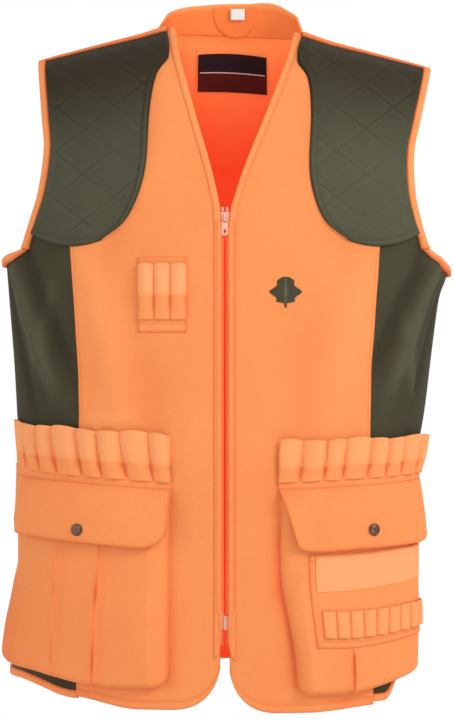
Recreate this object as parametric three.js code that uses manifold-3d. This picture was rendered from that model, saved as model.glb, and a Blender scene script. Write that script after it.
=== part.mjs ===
// Sleeveless field vest with a zipped front, quilted shoulder pads, cartridge loops and cargo pockets.
// Units are millimetres. +Z is up, the front faces -Y, and the wearer's left is +X.
// The origin is on the shoulder ridge line, midway between the two neck points.
//
// Every cloth piece is a thin closed solid that follows one torso surface. A place on that surface is
// (phi, v): phi is the angle round the body, 0 at the middle of the front or back and 90 degrees at
// the side, signed by side; v is the distance down the cloth from the shoulder ridge, positive on the
// front and negative on the back.
import * as THREE from "three";
import { mergeVertices } from "three/addons/utils/BufferGeometryUtils.js";
import Module from "manifold-3d";

const wasm = await Module();
wasm.setup();

// ---- Driving dimensions -------------------------------------------------------------------------

const RIGHT = -1; // the wearer's right, at -X
const LEFT = 1;

const FRONT_DEPTH = 125; // centre front of the torso to the shoulder plane
const BACK_DEPTH = 115;
const ROUNDNESS = 2.4; // superellipse exponent of a level section
const RIDGE_ROUNDNESS = 1.7; // superellipse exponent of the curve over the shoulder
const RIDGE_DROP = 195; // height over which the shoulder curves down into the chest
const RIDGE_ARC = 230; // length of that curve, measured down the cloth
const NECK_HALF = 72; // shoulder ridge's inner end, from the neck's middle
const SHOULDER_SLOPE = 0.262;
const LEAN = 10; // how far the neck sits to the wearer's left of the zip
const LEAN_ENDS = -205; // the level where the lean has died out
const NAPE_RISE = 38; // how far the cloth rises at the back of the neck
const NAPE_REACH = 190; // cloth distance from the ridge at which that rise has died out
const NAPE_WIDE = 90;
const NECK_TILT = 3.5; // height that the neck drops from the wearer's right to the middle

const CLOTH = 2; // thickness of a body panel with its turnings
const TAPE_THICK = 1.4; // thickness of loops, bands and labels
const LAYER_GAP = 1.5; // clearance between cloth layers
const SEAM = 1; // clearance between panels that are sewn edge to edge
const BINDING_WIDE = 8;

const ZIP_TOP = -198;
const ZIP_HALF_GAP = 4.7; // zip centre to the front panel's folded edge
const HEM = -700; // lowest level of the front hem
const SIDE_HEM = -688;
const LOOPS_TOP = -415;
const LOOPS_BOTTOM = -459;
const FLAP_TOP = -466;
const FLAP_BOTTOM = -531;
const MOUTH = -483; // level of the cargo pocket's mouth
const POCKET_BOTTOM = -674;
const POCKET_INNER = 56; // zip centre to the pocket's inner edge
const POCKET_OUTER = THREE.MathUtils.degToRad(80); // angle round the body of its outer edge
const SNAP_X = 142;
const SNAP_LEVEL = -516;

// ---- Materials ----------------------------------------------------------------------------------

const cloth = (color) => new THREE.MeshStandardMaterial({ color, roughness: 0.9, metalness: 0 });
const paint = {
  orange: () => cloth(0xf7904c),
  elastic: () => cloth(0xfaa062),
  lining: () => cloth(0xee4a22),
  olive: () => cloth(0x4d4b39),
  label: () => cloth(0x2a1c22),
  white: () => cloth(0xf0eeea),
  brass: () => new THREE.MeshStandardMaterial({ color: 0x6f5a3c, roughness: 0.4, metalness: 0.9 }),
  nylon: () => new THREE.MeshStandardMaterial({ color: 0xf4b9a2, roughness: 0.45, metalness: 0 }),
};

// ---- Curves -------------------------------------------------------------------------------------

const { clamp, lerp, smoothstep, degToRad } = THREE.MathUtils;

// A smooth line through [key, value] points whose keys fall; flat beyond both ends.
function along(points, key) {
  const last = points.length - 1;
  if (key >= points[0][0]) return points[0][1];
  if (key <= points[last][0]) return points[last][1];
  const i = points.findIndex((p) => p[0] < key) - 1;
  const slope = (j) => {
    const [a, b] = [points[Math.max(j - 1, 0)], points[Math.min(j + 1, last)]];
    return (b[1] - a[1]) / (b[0] - a[0]);
  };
  const [[k0, v0], [k1, v1]] = [points[i], points[i + 1]];
  const span = k1 - k0;
  const t = (key - k0) / span;
  const [t2, t3] = [t * t, t * t * t];
  return (
    (2 * t3 - 3 * t2 + 1) * v0 +
    (t3 - 2 * t2 + t) * span * slope(i) +
    (3 * t2 - 2 * t3) * v1 +
    (t3 - t2) * span * slope(i + 1)
  );
}

// Half-widths of the body by level, from its middle line, on the wearer's right and left.
const SIDE_LINE = {
  [RIGHT]: [[-240, 230], [-300, 224], [-350, 221], [-400, 218], [-450, 216], [-700, 217]],
  [LEFT]: [[-240, 231], [-300, 222], [-350, 215], [-400, 209], [-450, 203], [-700, 192]],
};
// Half-width of the garment at its armhole edge, by level.
const ARMHOLE = [[0, 206], [-40, 200], [-80, 195], [-120, 193], [-170, 198], [-205, 206], [-232, 214]];
const ARMHOLE_LOW = -241; // level of the armhole edge at the side
// Half-width of the front neck edge, by level.
const NECK_EDGE = [[0, 62], [-30, 56], [-60, 47], [-100, 34], [-150, 17], [-190, 6], [-202, 4.7]];
// Half-width of the shoulder pad's inner edge, by level.
const PAD_EDGE = [[0, 70], [-36, 66], [-54, 77], [-90, 82], [-150, 82.5], [-180, 89], [-204, 102], [-220, 124]];
const PAD_BOTTOM = -221;
// Half-width of the seam between front panel and side panel, by level.
const SIDE_SEAM = [[-220, 156], [-300, 151], [-420, 146], [-700, 150]];

// ---- The torso surface --------------------------------------------------------------------------

const lean = (level) => LEAN * clamp(1 - level / LEAN_ENDS, 0, 1);
const halfWidth = (level, side) => along(SIDE_LINE[side], level);

// The level, before shoulder slope, at distance v down the cloth.
function levelAt(v) {
  const down = Math.abs(v);
  if (down >= RIDGE_ARC) return -RIDGE_DROP - (down - RIDGE_ARC);
  const turn = (down / RIDGE_ARC) * (Math.PI / 2);
  return -RIDGE_DROP * (1 - Math.cos(turn) ** (2 / RIDGE_ROUNDNESS));
}

function downTo(level) {
  if (level <= -RIDGE_DROP) return RIDGE_ARC - RIDGE_DROP - level;
  const cosine = (1 + level / RIDGE_DROP) ** (RIDGE_ROUNDNESS / 2);
  return (Math.acos(clamp(cosine, -1, 1)) / (Math.PI / 2)) * RIDGE_ARC;
}

function onTorso(phi, v) {
  const level = levelAt(v);
  const side = phi < 0 ? RIGHT : LEFT;
  const turn = Math.min(Math.abs(v) / RIDGE_ARC, 1) * (Math.PI / 2);
  const reach = Math.sin(turn) ** (2 / RIDGE_ROUNDNESS);
  const high = 1 - clamp(-level / RIDGE_DROP, 0, 1);
  const x = side * halfWidth(level, side) * Math.abs(Math.sin(phi)) ** (2 / ROUNDNESS);
  const cosine = Math.cos(phi);
  const deep = Math.sign(cosine) * Math.abs(cosine) ** (2 / ROUNDNESS) * reach;
  const slope = -SHOULDER_SLOPE * Math.max(0, Math.abs(x) - NECK_HALF) - NECK_TILT * Math.tanh(x / 60);
  const nape = v < 0 && -v < NAPE_REACH ? Math.sin((Math.PI * -v) / NAPE_REACH) ** 2 : 0;
  const rise = NAPE_RISE * nape * Math.exp(-((x / NAPE_WIDE) ** 2));
  const y = v >= 0 ? -FRONT_DEPTH * deep : BACK_DEPTH * deep;
  const depth = cosine < 0 ? y * (BACK_DEPTH / FRONT_DEPTH) : y;
  return new THREE.Vector3(x + lean(level), depth, level + slope * high + rise);
}

// The same place lifted off the surface by `lift` along its outward normal.
function lifted(phi, v, lift) {
  const step = 0.02;
  const round = onTorso(phi + step, v).sub(onTorso(phi - step, v));
  const down = onTorso(phi, v + 2).sub(onTorso(phi, v - 2));
  const normal = round.cross(down).normalize();
  return onTorso(phi, v).addScaledVector(normal.negate(), lift);
}

// The angle phi at which the surface is `half` from its middle line at a level.
const angleAt = (half, level, side) =>
  side * Math.asin(clamp(half / halfWidth(level, side), 0, 1) ** (ROUNDNESS / 2));

// ---- Closed cloth solids ------------------------------------------------------------------------

// A closed solid between two grids of points of the same size: outer[row][column] and inner[row][column].
function shell(outer, inner) {
  const rows = outer.length;
  const cols = outer[0].length;
  const points = [...outer.flat(), ...inner.flat()];
  const at = (r, c, side) => side * rows * cols + r * cols + c;
  const index = [];
  const quad = (a, b, c, d) => index.push(a, b, c, a, c, d);
  for (let r = 0; r + 1 < rows; r++)
    for (let c = 0; c + 1 < cols; c++) {
      quad(at(r, c, 0), at(r + 1, c, 0), at(r + 1, c + 1, 0), at(r, c + 1, 0));
      quad(at(r, c, 1), at(r, c + 1, 1), at(r + 1, c + 1, 1), at(r + 1, c, 1));
    }
  for (let c = 0; c + 1 < cols; c++) {
    quad(at(0, c, 0), at(0, c + 1, 0), at(0, c + 1, 1), at(0, c, 1));
    quad(at(rows - 1, c, 0), at(rows - 1, c, 1), at(rows - 1, c + 1, 1), at(rows - 1, c + 1, 0));
  }
  for (let r = 0; r + 1 < rows; r++) {
    quad(at(r, 0, 0), at(r, 0, 1), at(r + 1, 0, 1), at(r + 1, 0, 0));
    quad(at(r, cols - 1, 0), at(r + 1, cols - 1, 0), at(r + 1, cols - 1, 1), at(r, cols - 1, 1));
  }
  const geometry = new THREE.BufferGeometry().setFromPoints(points);
  geometry.setIndex(volumeOf(points, index) < 0 ? index.reverse() : index);
  geometry.computeVertexNormals();
  return geometry;
}

function volumeOf(points, index) {
  let six = 0;
  for (let i = 0; i < index.length; i += 3) {
    const [a, b, c] = index.slice(i, i + 3).map((k) => points[k]);
    six += a.dot(b.clone().cross(c));
  }
  return six / 6;
}

const steps = (count) => Array.from({ length: count + 1 }, (_, i) => i / count);

// Cloth over the torso. place(s, t) gives [phi, v]; s runs across and t down, both 0 to 1.
// lift and thick are millimetres or functions of (s, t).
function sheet({ across, down, place, lift, thick }) {
  const value = (f, s, t) => (typeof f === "function" ? f(s, t) : f);
  const columns = typeof across === "number" ? steps(across) : across;
  const lines = typeof down === "number" ? steps(down) : down;
  const grid = (outside) =>
    lines.map((t) =>
      columns.map((s) => {
        const [phi, v] = place(s, t);
        return lifted(phi, v, value(lift, s, t) + (outside ? value(thick, s, t) : 0));
      }),
    );
  return shell(grid(true), grid(false));
}

// place() for cloth on the front that spans from one half-width to another at each level.
// top(s) is a distance down from the ridge, bottom a level. inner, outer: half-widths by level.
// sag(half, t, s, level): how far the cloth there lies above its plain level.
function between({ side, top, bottom, inner, outer, sag = () => 0 }) {
  return (s, t) => {
    const level = levelAt(lerp(top(0), downTo(bottom), t) + (top(s) - top(0)) * (1 - t) ** 8);
    const half = lerp(inner(level), outer(level), s);
    const settled = level + sag(half, t, s, level);
    return [angleAt(half, settled, side), downTo(settled)];
  };
}

// place() for cloth that spans angles round the body.
const round = ({ from, to, top, bottom, face = 1 }) => (s, t) => {
  const phi = lerp(from, to, s);
  return [phi, face * downTo(lerp(top(phi), bottom(phi), t))];
};

const root = new THREE.Group();

function add(name, geometry, material) {
  const mesh = new THREE.Mesh(geometry, material);
  mesh.name = name;
  root.add(mesh);
  return mesh;
}

const sideName = (side) => (side === RIGHT ? "right" : "left");
const armholeEdge = (level) => along(ARMHOLE, level);
const seamEdge = (level) => along(SIDE_SEAM, level);
const QUARTER = Math.PI / 2;

// ---- Front panels -------------------------------------------------------------------------------

const CORNER_WIDE = 52; // rounded corner where the front hem meets the zip edge
const CORNER_TALL = 56;
const HEM_EASE = -590; // the level where the cloth's rows start to follow the hem

// How far the front hem rises above its lowest level, at a half-width.
function hemRise(half) {
  const inward = clamp((ZIP_HALF_GAP + CORNER_WIDE - half) / CORNER_WIDE, 0, 1);
  const corner = CORNER_TALL * (1 - (1 - inward ** 2.4) ** (1 / 2.4));
  return corner + 16 * smoothstep(half, 70, 160);
}

// The yoke comes this far forward over the ridge, at the neck and at the shoulder's tip.
const YOKE_FORWARD = [32, 15];
const underYoke = (s) => lerp(YOKE_FORWARD[0], YOKE_FORWARD[1], s) + 3.5 * SEAM;
const UNDER_PAD = [-212, -225]; // levels between which the front panel narrows from armhole to side seam
const FRONT_LEVELS = [levelAt(underYoke(0)), -22, -48, -82, -118, -154, -190, ...UNDER_PAD, -270, -330, -390, -450, -510,
  -570, -610, -640, -662, -682, HEM];

const panelEdge = (level) =>
  lerp(seamEdge(level), armholeEdge(level) - BINDING_WIDE - SEAM, smoothstep(level, UNDER_PAD[1], UNDER_PAD[0])) - SEAM;

// Row positions from 0 to 1, spaced down the cloth as the levels are.
function rowsAt(levels) {
  const [from, to] = [downTo(levels[0]), downTo(levels[levels.length - 1])];
  return levels.map((level) => (downTo(level) - from) / (to - from));
}

function frontPanel(side) {
  const place = between({
    side,
    top: underYoke,
    bottom: HEM,
    inner: (level) => Math.max(along(NECK_EDGE, level) + BINDING_WIDE * smoothstep(level, -215, -150), ZIP_HALF_GAP),
    outer: panelEdge,
    sag: (half, t, s, level) => hemRise(half) * clamp((HEM_EASE - level) / (HEM_EASE - HEM), 0, 1),
  });
  return sheet({
    across: [0, 0.06, 0.16, 0.28, 0.44, 0.6, 0.75, 0.88, 1],
    down: rowsAt(FRONT_LEVELS),
    place,
    lift: -CLOTH,
    thick: CLOTH,
  });
}

function shoulderPad(side) {
  const place = between({
    side,
    top: underYoke,
    bottom: PAD_BOTTOM,
    inner: (level) => along(PAD_EDGE, level),
    outer: (level) => armholeEdge(level) - BINDING_WIDE - 2.5 * SEAM,
    sag: (_, t, s) => -10 * clamp((t - 0.7) / 0.3, 0, 1) * (1 - (2 * s - 0.8) ** 2),
  });
  const crown = (s, t) => Math.min(1, 9 * s, 9 * (1 - s), 11 * t, 9 * (1 - t)) ** 0.6;
  return sheet({
    across: [0, 0.08, 0.3, 0.5, 0.7, 0.92, 1],
    down: [0, 0.06, 0.16, 0.26, 0.38, 0.5, 0.62, 0.72, 0.8, 0.87, 0.93, 1],
    place,
    lift: LAYER_GAP,
    thick: (s, t) => 2 + 3.5 * crown(s, t),
  });
}

function neckBinding(side) {
  const place = between({
    side,
    top: () => 2,
    bottom: -206,
    inner: (level) => along(NECK_EDGE, level),
    outer: (level) => along(NECK_EDGE, level) + BINDING_WIDE - SEAM,
  });
  return sheet({ across: 1, down: 12, place, lift: LAYER_GAP, thick: TAPE_THICK });
}

function placket(side) {
  const place = between({
    side,
    top: () => downTo(-214),
    bottom: -628,
    inner: () => ZIP_HALF_GAP + 0.3,
    outer: () => ZIP_HALF_GAP + 12,
  });
  return sheet({ across: 1, down: 3, place, lift: LAYER_GAP, thick: TAPE_THICK });
}

// ---- Armholes -----------------------------------------------------------------------------------

// The armhole binding, from the shoulder ridge down to the side, on the front or the back.
function armholeBinding(side, face) {
  const tip = face > 0 ? YOKE_FORWARD[1] + 1.5 * SEAM : SEAM;
  const place = (s, t) => {
    const fall = 0.78; // share of the edge that runs down before it turns under the arm
    const level = levelAt(lerp(tip, downTo(ARMHOLE[ARMHOLE.length - 1][0]), Math.min(t / fall, 1)));
    const rim = Math.abs(angleAt(armholeEdge(level) - BINDING_WIDE * s, level, side));
    if (t <= fall) return [side * rim, face * downTo(level)];
    const under = (t - fall) / (1 - fall);
    const start = rim + degToRad(1.2) * s;
    const phi = lerp(start, QUARTER - degToRad(face > 0 ? 2.5 : 0.3), under);
    const dip = lerp(level, ARMHOLE_LOW, under ** 0.7) - BINDING_WIDE * s * Math.min(1, 3 * under);
    return [side * phi, face * downTo(dip)];
  };
  return sheet({
    across: 1,
    down: [0, 0.1, 0.22, 0.34, 0.46, 0.58, 0.7, 0.78, 0.83, 0.88, 0.94, 1],
    place,
    lift: -CLOTH,
    thick: CLOTH + LAYER_GAP + 1,
  });
}

// ---- Side panels --------------------------------------------------------------------------------

function sidePanel(side) {
  const outline = (phi, level) => {
    const seam = Math.abs(angleAt(seamEdge(level) + SEAM, level, side));
    return lerp(seam, Math.PI - seam, phi);
  };
  const place = (s, t) => {
    const tuck = (0.5 - Math.abs(s - 0.5)) * 2; // 0 at the seams, 1 under the arm
    const top = lerp(UNDER_PAD[1] - 3, ARMHOLE_LOW - BINDING_WIDE - SEAM, smoothstep(tuck, 0.3, 0.62));
    const level = lerp(top, SIDE_HEM, t);
    return [side * outline(s, level), downTo(level)];
  };
  return sheet({ across: 12, down: 10, place, lift: -CLOTH, thick: CLOTH });
}

function sideHemBand(side) {
  const seam = Math.abs(angleAt(seamEdge(SIDE_HEM) + 2 * SEAM, SIDE_HEM, side));
  const place = (s, t) => [side * lerp(seam, Math.PI - seam, s), downTo(lerp(SIDE_HEM + 9, SIDE_HEM - 2, t))];
  return sheet({ across: 10, down: 1, place, lift: LAYER_GAP, thick: TAPE_THICK });
}

// ---- Back ---------------------------------------------------------------------------------------

const YOKE_LOW = -118; // level of the yoke seam across the back
const NECK_BACK = 80; // cloth distance from the ridge down to the middle of the back neck

const signedAngle = (offset, level) => angleAt(Math.abs(offset), level, offset < 0 ? RIGHT : LEFT);

// Top edge of the back yoke, as v, at an offset from the middle line.
function neckLine(offset) {
  const half = Math.abs(offset);
  const share = half / (NECK_HALF - 2);
  if (share < 1) return -NECK_BACK * Math.sqrt(1 - share * share);
  return lerp(YOKE_FORWARD[0], YOKE_FORWARD[1], (half - NECK_HALF) / (ARMHOLE[0][1] - NECK_HALF));
}

function backYoke() {
  const inside = [0, 0.3, 0.55, 0.75, 0.9, 0.975].map((k) => k * (NECK_HALF - 2));
  const outside = [NECK_HALF + 1, 95, 130, 165, 190];
  const half = [...inside, ...outside].map((x) => [x, x]);
  const columns = [...half.slice(1).reverse().map(([x]) => -x), ...half.map(([x]) => x)];
  const low = -downTo(YOKE_LOW);
  const place = (s, t) => {
    const offset = columns[Math.round(s * (columns.length - 1))];
    const v = lerp(neckLine(offset), low, t);
    const level = levelAt(v);
    const widest = armholeEdge(level) - BINDING_WIDE - SEAM;
    const spread = Math.abs(offset) > 190 - 1 ? widest : Math.abs(offset);
    return [signedAngle(Math.sign(offset) * Math.min(spread, widest), level), v];
  };
  return sheet({ across: columns.length - 1, down: 9, place, lift: -CLOTH, thick: CLOTH });
}

const BACK_LEVELS = [YOKE_LOW - SEAM, -142, -166, -190, ...UNDER_PAD, -270, -330, -400, -470, -540, -610, SIDE_HEM];

// Back cloth with rows at the given levels. edge(level) is its half-width.
function backSheet({ levels, edge, lift, thick, across = 12 }) {
  const [top, bottom] = [levels[0], levels[levels.length - 1]];
  const place = (s, t) => {
    const level = lerp(top, bottom, t);
    return [signedAngle(edge(level) * (2 * s - 1), level), -downTo(level)];
  };
  const down = levels.map((level) => (level - top) / (bottom - top));
  return sheet({ across, down, place, lift, thick });
}

const LINING_LIFT = -CLOTH - 4 - TAPE_THICK;

function backLining() {
  const place = (s, t) => {
    const offset = (2 * s - 1) * 150;
    const v = lerp(-NECK_BACK - 8, -downTo(SIDE_HEM + 20), t);
    return [signedAngle(offset, levelAt(v)), v];
  };
  return sheet({ across: 12, down: 20, place, lift: LINING_LIFT, thick: TAPE_THICK });
}

// The back neck band stands on the back neck edge from one neck point to the other.
const STAND = { tall: 27, tallAtEnds: 13, setIn: 3 };

// A point of the band: s runs from the wearer's left to right, t up, `inside` towards the neck.
function standPoint(s, t, inside) {
  const turn = lerp(degToRad(2), degToRad(178), s);
  const [offset, v] = [(NECK_HALF - 2) * Math.cos(turn), -NECK_BACK * Math.sin(turn)];
  const foot = onTorso(signedAngle(offset, levelAt(v)), v);
  const inward = new THREE.Vector3(LEAN - foot.x, -foot.y * 0.9, 0).normalize();
  const tall = lerp(STAND.tallAtEnds, STAND.tall, Math.sin(turn) ** 0.8);
  foot.addScaledVector(inward, STAND.setIn + 3 * t + inside);
  return foot.setZ(foot.z + 2 + tall * t);
}

function collar() {
  const grid = (inside) => [0, 0.5, 1].map((t) => steps(20).map((s) => standPoint(s, t, inside)));
  return shell(grid(0), grid(CLOTH));
}

// A half-moon of facing cloth inside the neck band, straight edge up.
function halfMoonFacing() {
  const grid = (inside) =>
    [0, 0.5, 1].map((t) =>
      steps(8).map((s) => {
        const low = 0.86 - 0.92 * Math.sqrt(1 - (0.97 * (2 * s - 1)) ** 2);
        return standPoint(lerp(0.36, 0.62, s), lerp(0.86, low, t), inside);
      }),
    );
  return shell(grid(CLOTH + 1), grid(CLOTH + 1 + TAPE_THICK));
}

// The woven label on the lining below the neck.
function wovenLabel() {
  const place = (s, t) => {
    const v = lerp(-99, -133, t);
    const level = levelAt(v);
    return [signedAngle(8 - lean(level) + (s - 0.5) * 77, level), v];
  };
  return sheet({ across: 6, down: 4, place, lift: LINING_LIFT - 5, thick: 1 });
}

// ---- Loops --------------------------------------------------------------------------------------

const LOOP_SWELL = 11; // how far an empty loop stands off the cloth behind it
const LOOP_STEPS = [0, 0.1, 0.28, 0.5, 0.72, 0.9];

// A band of cartridge loops: each loop bows out between two stitch lines.
function loopBand({ count, place, down = 2, swell = LOOP_SWELL, fade = () => 1, lift = LAYER_GAP }) {
  const across = Array.from({ length: count }, (_, i) => LOOP_STEPS.map((k) => (i + k) / count)).flat();
  across.push(1);
  const bow = (s, t) => {
    const share = (s * count) % 1;
    const arch = Math.abs(Math.sin(Math.PI * share)) ** 0.55;
    return lift + (s > 0.9999 ? 0 : arch * swell * fade(s) * (1 - 0.15 * t));
  };
  return sheet({ across, down, place, lift: bow, thick: TAPE_THICK });
}

// The angle at which cloth at a level has run `share` of the way from phi0 to phi1, by length.
function evenly(phi0, phi1, level) {
  const v = downTo(level);
  const angles = steps(60).map((s) => lerp(phi0, phi1, s));
  const lengths = [0];
  angles.slice(1).forEach((a, i) => lengths.push(lengths[i] + onTorso(a, v).distanceTo(onTorso(angles[i], v))));
  const total = lengths[lengths.length - 1];
  return (share) => {
    const i = clamp(lengths.findIndex((d) => d > share * total) - 1, 0, 59);
    const k = share >= 1 ? 59 : i;
    return lerp(angles[k], angles[k + 1], clamp((share * total - lengths[k]) / (lengths[k + 1] - lengths[k]), 0, 1));
  };
}

function shellLoops(side) {
  const inner = angleAt(POCKET_INNER, LOOPS_TOP, side);
  const outer = side * degToRad(80);
  const even = evenly(inner, outer, LOOPS_TOP);
  const place = (s, t) => [even(s), downTo(lerp(LOOPS_TOP, LOOPS_BOTTOM, t))];
  return loopBand({ count: 8, place, fade: (s) => lerp(1, 0.75, smoothstep(s, 0.7, 1)) });
}

function flapSeam(side) {
  const place = (s, t) => [
    lerp(angleAt(POCKET_INNER, FLAP_TOP, side), side * degToRad(79), s),
    downTo(lerp(LOOPS_BOTTOM - 1.5, FLAP_TOP + 1, t)),
  ];
  return sheet({ across: 8, down: 1, place, lift: LAYER_GAP, thick: 2.4 });
}

const CHEST_X = [38, 88];
const CHEST_TOP = -247;
const CHEST_BOTTOM = -318;

function chestPlace(top, bottom, inset) {
  return between({
    side: RIGHT,
    top: () => downTo(top),
    bottom,
    inner: () => CHEST_X[0] + inset,
    outer: () => CHEST_X[1] - inset,
  });
}

// ---- Cargo pockets ------------------------------------------------------------------------------

const POCKET_SWELL = 15; // how far the pocket's front wall stands off the panel
const FLAP_OFF = 5.6; // clearance between flap and pocket, where the snap sits

// How far the pocket's front wall stands off the body, across (s) and down (t) the pocket.
function pocketBulge(s, t) {
  const shoulder = Math.min(1, s / 0.1, (1 - s) / 0.2);
  const filled = lerp(0.42, 1, smoothstep(t, 0, 0.7)) * lerp(1, 0.8 + 0.2 * t, smoothstep(s, 0.5, 1));
  return LAYER_GAP + POCKET_SWELL * filled * clamp(shoulder, 0, 1) ** 0.5;
}

function pocketPlace(side) {
  const start = angleAt(POCKET_INNER, MOUTH, side);
  const even = evenly(start, side * POCKET_OUTER, -560);
  return (s, t) => {
    const corner = 0.1;
    const edge = Math.min(s, 1 - s);
    const cut = edge < corner ? 20 * (1 - Math.sqrt(1 - (1 - edge / corner) ** 2)) : 0;
    return [even(s), downTo(lerp(MOUTH, POCKET_BOTTOM + cut, t))];
  };
}

// A bag with no back and an open mouth: front wall, two sides and a bottom.
function cargoPocket(side) {
  const wall = 1.6;
  const place = pocketPlace(side);
  const columns = [0, 0.004, 0.05, 0.14, 0.26, 0.4, 0.55, 0.7, 0.83, 0.93, 0.996, 1];
  const lines = [0, 0.1, 0.25, 0.45, 0.65, 0.8, 0.9, 0.97, 0.995, 1];
  const rim = (s, t, outside) => {
    const atEdge = s <= 0 || s >= 1 || t >= 1;
    const settle = t > 0.9 ? Math.sqrt(clamp((1.02 - t) / 0.12, 0, 1)) : 1;
    const high = atEdge ? LAYER_GAP : Math.max(LAYER_GAP + 3.2, pocketBulge(clamp(s, 0.03, 0.97), t) * settle);
    return outside || atEdge ? high : high - wall;
  };
  const grid = (outside) =>
    lines.map((t) =>
      columns.map((s) => {
        const inset = outside ? 0 : 0.012;
        const [phi, v] = place(lerp(inset, 1 - inset, s), t * (1 - (outside ? 0 : 0.009)));
        return lifted(phi, v, rim(s, t, outside));
      }),
    );
  return shell(grid(true), grid(false));
}

// Height off the body of the flap's inner face, across (s) and down (t) the flap.
function flapLift(s, t) {
  const level = lerp(FLAP_TOP, FLAP_BOTTOM, t);
  const pocketT = clamp((level - MOUTH) / (POCKET_BOTTOM - MOUTH), 0, 1);
  const over = pocketBulge(clamp(s, 0.12, 0.9), pocketT) + FLAP_OFF;
  return lerp(LAYER_GAP + 0.6, over, smoothstep(t, 0, 0.16));
}

function flapPlace(side) {
  const even = evenly(angleAt(POCKET_INNER - 2, FLAP_TOP, side), side * (POCKET_OUTER + degToRad(1)), FLAP_TOP);
  return (s, t) => {
    const corner = 0.16;
    const cut = s < corner ? 24 * (1 - Math.sqrt(1 - (1 - s / corner) ** 2)) : 0;
    return [even(s), downTo(lerp(FLAP_TOP, FLAP_BOTTOM + cut, t))];
  };
}

function pocketFlap(side) {
  return sheet({
    across: [0, 0.03, 0.08, 0.16, 0.28, 0.42, 0.56, 0.7, 0.84, 1],
    down: [0, 0.06, 0.12, 0.2, 0.4, 0.6, 0.8, 1],
    place: flapPlace(side),
    lift: flapLift,
    thick: CLOTH,
  });
}

// Snap fastener parts, turned about the line through the snap that stands square off the body.
const snapProfile = {
  cap: [[0, 0], [6.2, 0], [6.2, 0.7], [5, 1.6], [2.5, 2.1], [0, 2.2]],
  socket: [[0, 0], [5.2, 0], [5.2, 1.8], [2.4, 1.8], [2.4, 0.8], [0, 0.8]],
  stud: [[0, 0], [5, 0], [5, 0.6], [1.9, 0.8], [1.9, 1.8], [0, 1.8]],
};

function snapShare(side) {
  const even = evenly(angleAt(POCKET_INNER, MOUTH, side), side * POCKET_OUTER, -560);
  const target = Math.abs(angleAt(SNAP_X, SNAP_LEVEL, side));
  return steps(200).find((s) => Math.abs(even(s)) >= target);
}

function snapPart(side, kind, lift, flip) {
  const profile = snapProfile[kind].map(([r, h]) => new THREE.Vector2(r, h));
  const mesh = new THREE.Mesh(new THREE.LatheGeometry(profile, 20));
  const phi = angleAt(SNAP_X, SNAP_LEVEL, side);
  const v = downTo(SNAP_LEVEL);
  const seat = lifted(phi, v, lift);
  const out = lifted(phi, v, lift + 10).sub(seat).normalize();
  mesh.position.copy(seat);
  mesh.quaternion.setFromUnitVectors(new THREE.Vector3(0, 1, 0), flip ? out.negate() : out);
  return mesh;
}

function addSnaps(side) {
  const name = sideName(side);
  const t = (SNAP_LEVEL - MOUTH) / (POCKET_BOTTOM - MOUTH);
  const wall = pocketBulge(snapShare(side), t);
  const parts = [
    [name + "_pocket_stud", "stud", wall + 0.8, false],
    [name + "_snap_socket", "socket", wall + FLAP_OFF - 1.3, true],
    [name + "_snap_cap", "cap", wall + FLAP_OFF + CLOTH + 0.8, false],
  ];
  for (const [part, kind, lift, flip] of parts) {
    const mesh = snapPart(side, kind, lift, flip);
    mesh.name = part;
    mesh.material = paint.brass();
    root.add(mesh);
  }
}

// ---- Rifle-round patch on the left pocket -------------------------------------------------------

const PATCH = { from: 0.17, to: 0.9, top: -542, bottom: -636 };

// Cloth that lies on the left pocket's front wall, `off` millimetres above it.
function onPocket({ from, to, top, bottom, off, thick, across, down = 3, bow }) {
  const wall = pocketPlace(LEFT);
  const share = (level) => (level - MOUTH) / (POCKET_BOTTOM - MOUTH);
  const spot = (s, t) => [lerp(from, to, s), share(lerp(top, bottom, t))];
  const lift = (s, t) => pocketBulge(...spot(s, t)) + off + (bow ? bow(s, t) : 0);
  return sheet({ across, down, place: (s, t) => wall(...spot(s, t)), lift, thick });
}

// ---- Zip ----------------------------------------------------------------------------------------

const ZIP_Y = -FRONT_DEPTH + 3.2; // middle of the chain's thickness
const CHAIN_THICK = 2.4;
const CHAIN_TOP = -213;
const CHAIN_BOTTOM = -584;
const TOOTH_PITCH = 9;
const SLIDER_TALL = 13;

function box(x0, x1, y0, y1, z0, z1) {
  const geometry = new THREE.BoxGeometry(Math.abs(x1 - x0), Math.abs(y1 - y0), Math.abs(z1 - z0));
  return geometry.translate((x0 + x1) / 2, (y0 + y1) / 2, (z0 + z1) / 2);
}

// A flat plate of an outline in the X-Z plane, from y0 to y1.
function plate(shape, y0, y1) {
  const geometry = new THREE.ExtrudeGeometry(shape, { depth: y1 - y0, bevelEnabled: false, curveSegments: 8 });
  return geometry.rotateX(Math.PI / 2).translate(0, y1, 0);
}

// One side's teeth on their spine, half a pitch apart from the other side's.
function zipTeeth(side) {
  const [root0, root1, reach] = [2.6, 3.4, 1.2]; // the tips stop short of the middle, so the slider's post passes
  const shape = new THREE.Shape();
  const point = (half, z) => shape.lineTo(side * half, z);
  shape.moveTo(side * root1, CHAIN_TOP);
  point(root0, CHAIN_TOP);
  const first = side === LEFT ? 1 : 1 + TOOTH_PITCH / 2;
  for (let z = CHAIN_TOP - first; z - TOOTH_PITCH > CHAIN_BOTTOM; z -= TOOTH_PITCH) {
    point(root0, z);
    point(reach, z - 0.5);
    point(reach, z - 2.5);
    point(root0, z - 3);
  }
  point(root0, CHAIN_BOTTOM);
  point(root1, CHAIN_BOTTOM);
  shape.closePath();
  return plate(shape, ZIP_Y - CHAIN_THICK / 2, ZIP_Y + CHAIN_THICK / 2);
}

function zipTape(side) {
  return box(side * 4.9, side * 17, ZIP_Y + 0.4, ZIP_Y + 1.4, -203, -612);
}

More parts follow.
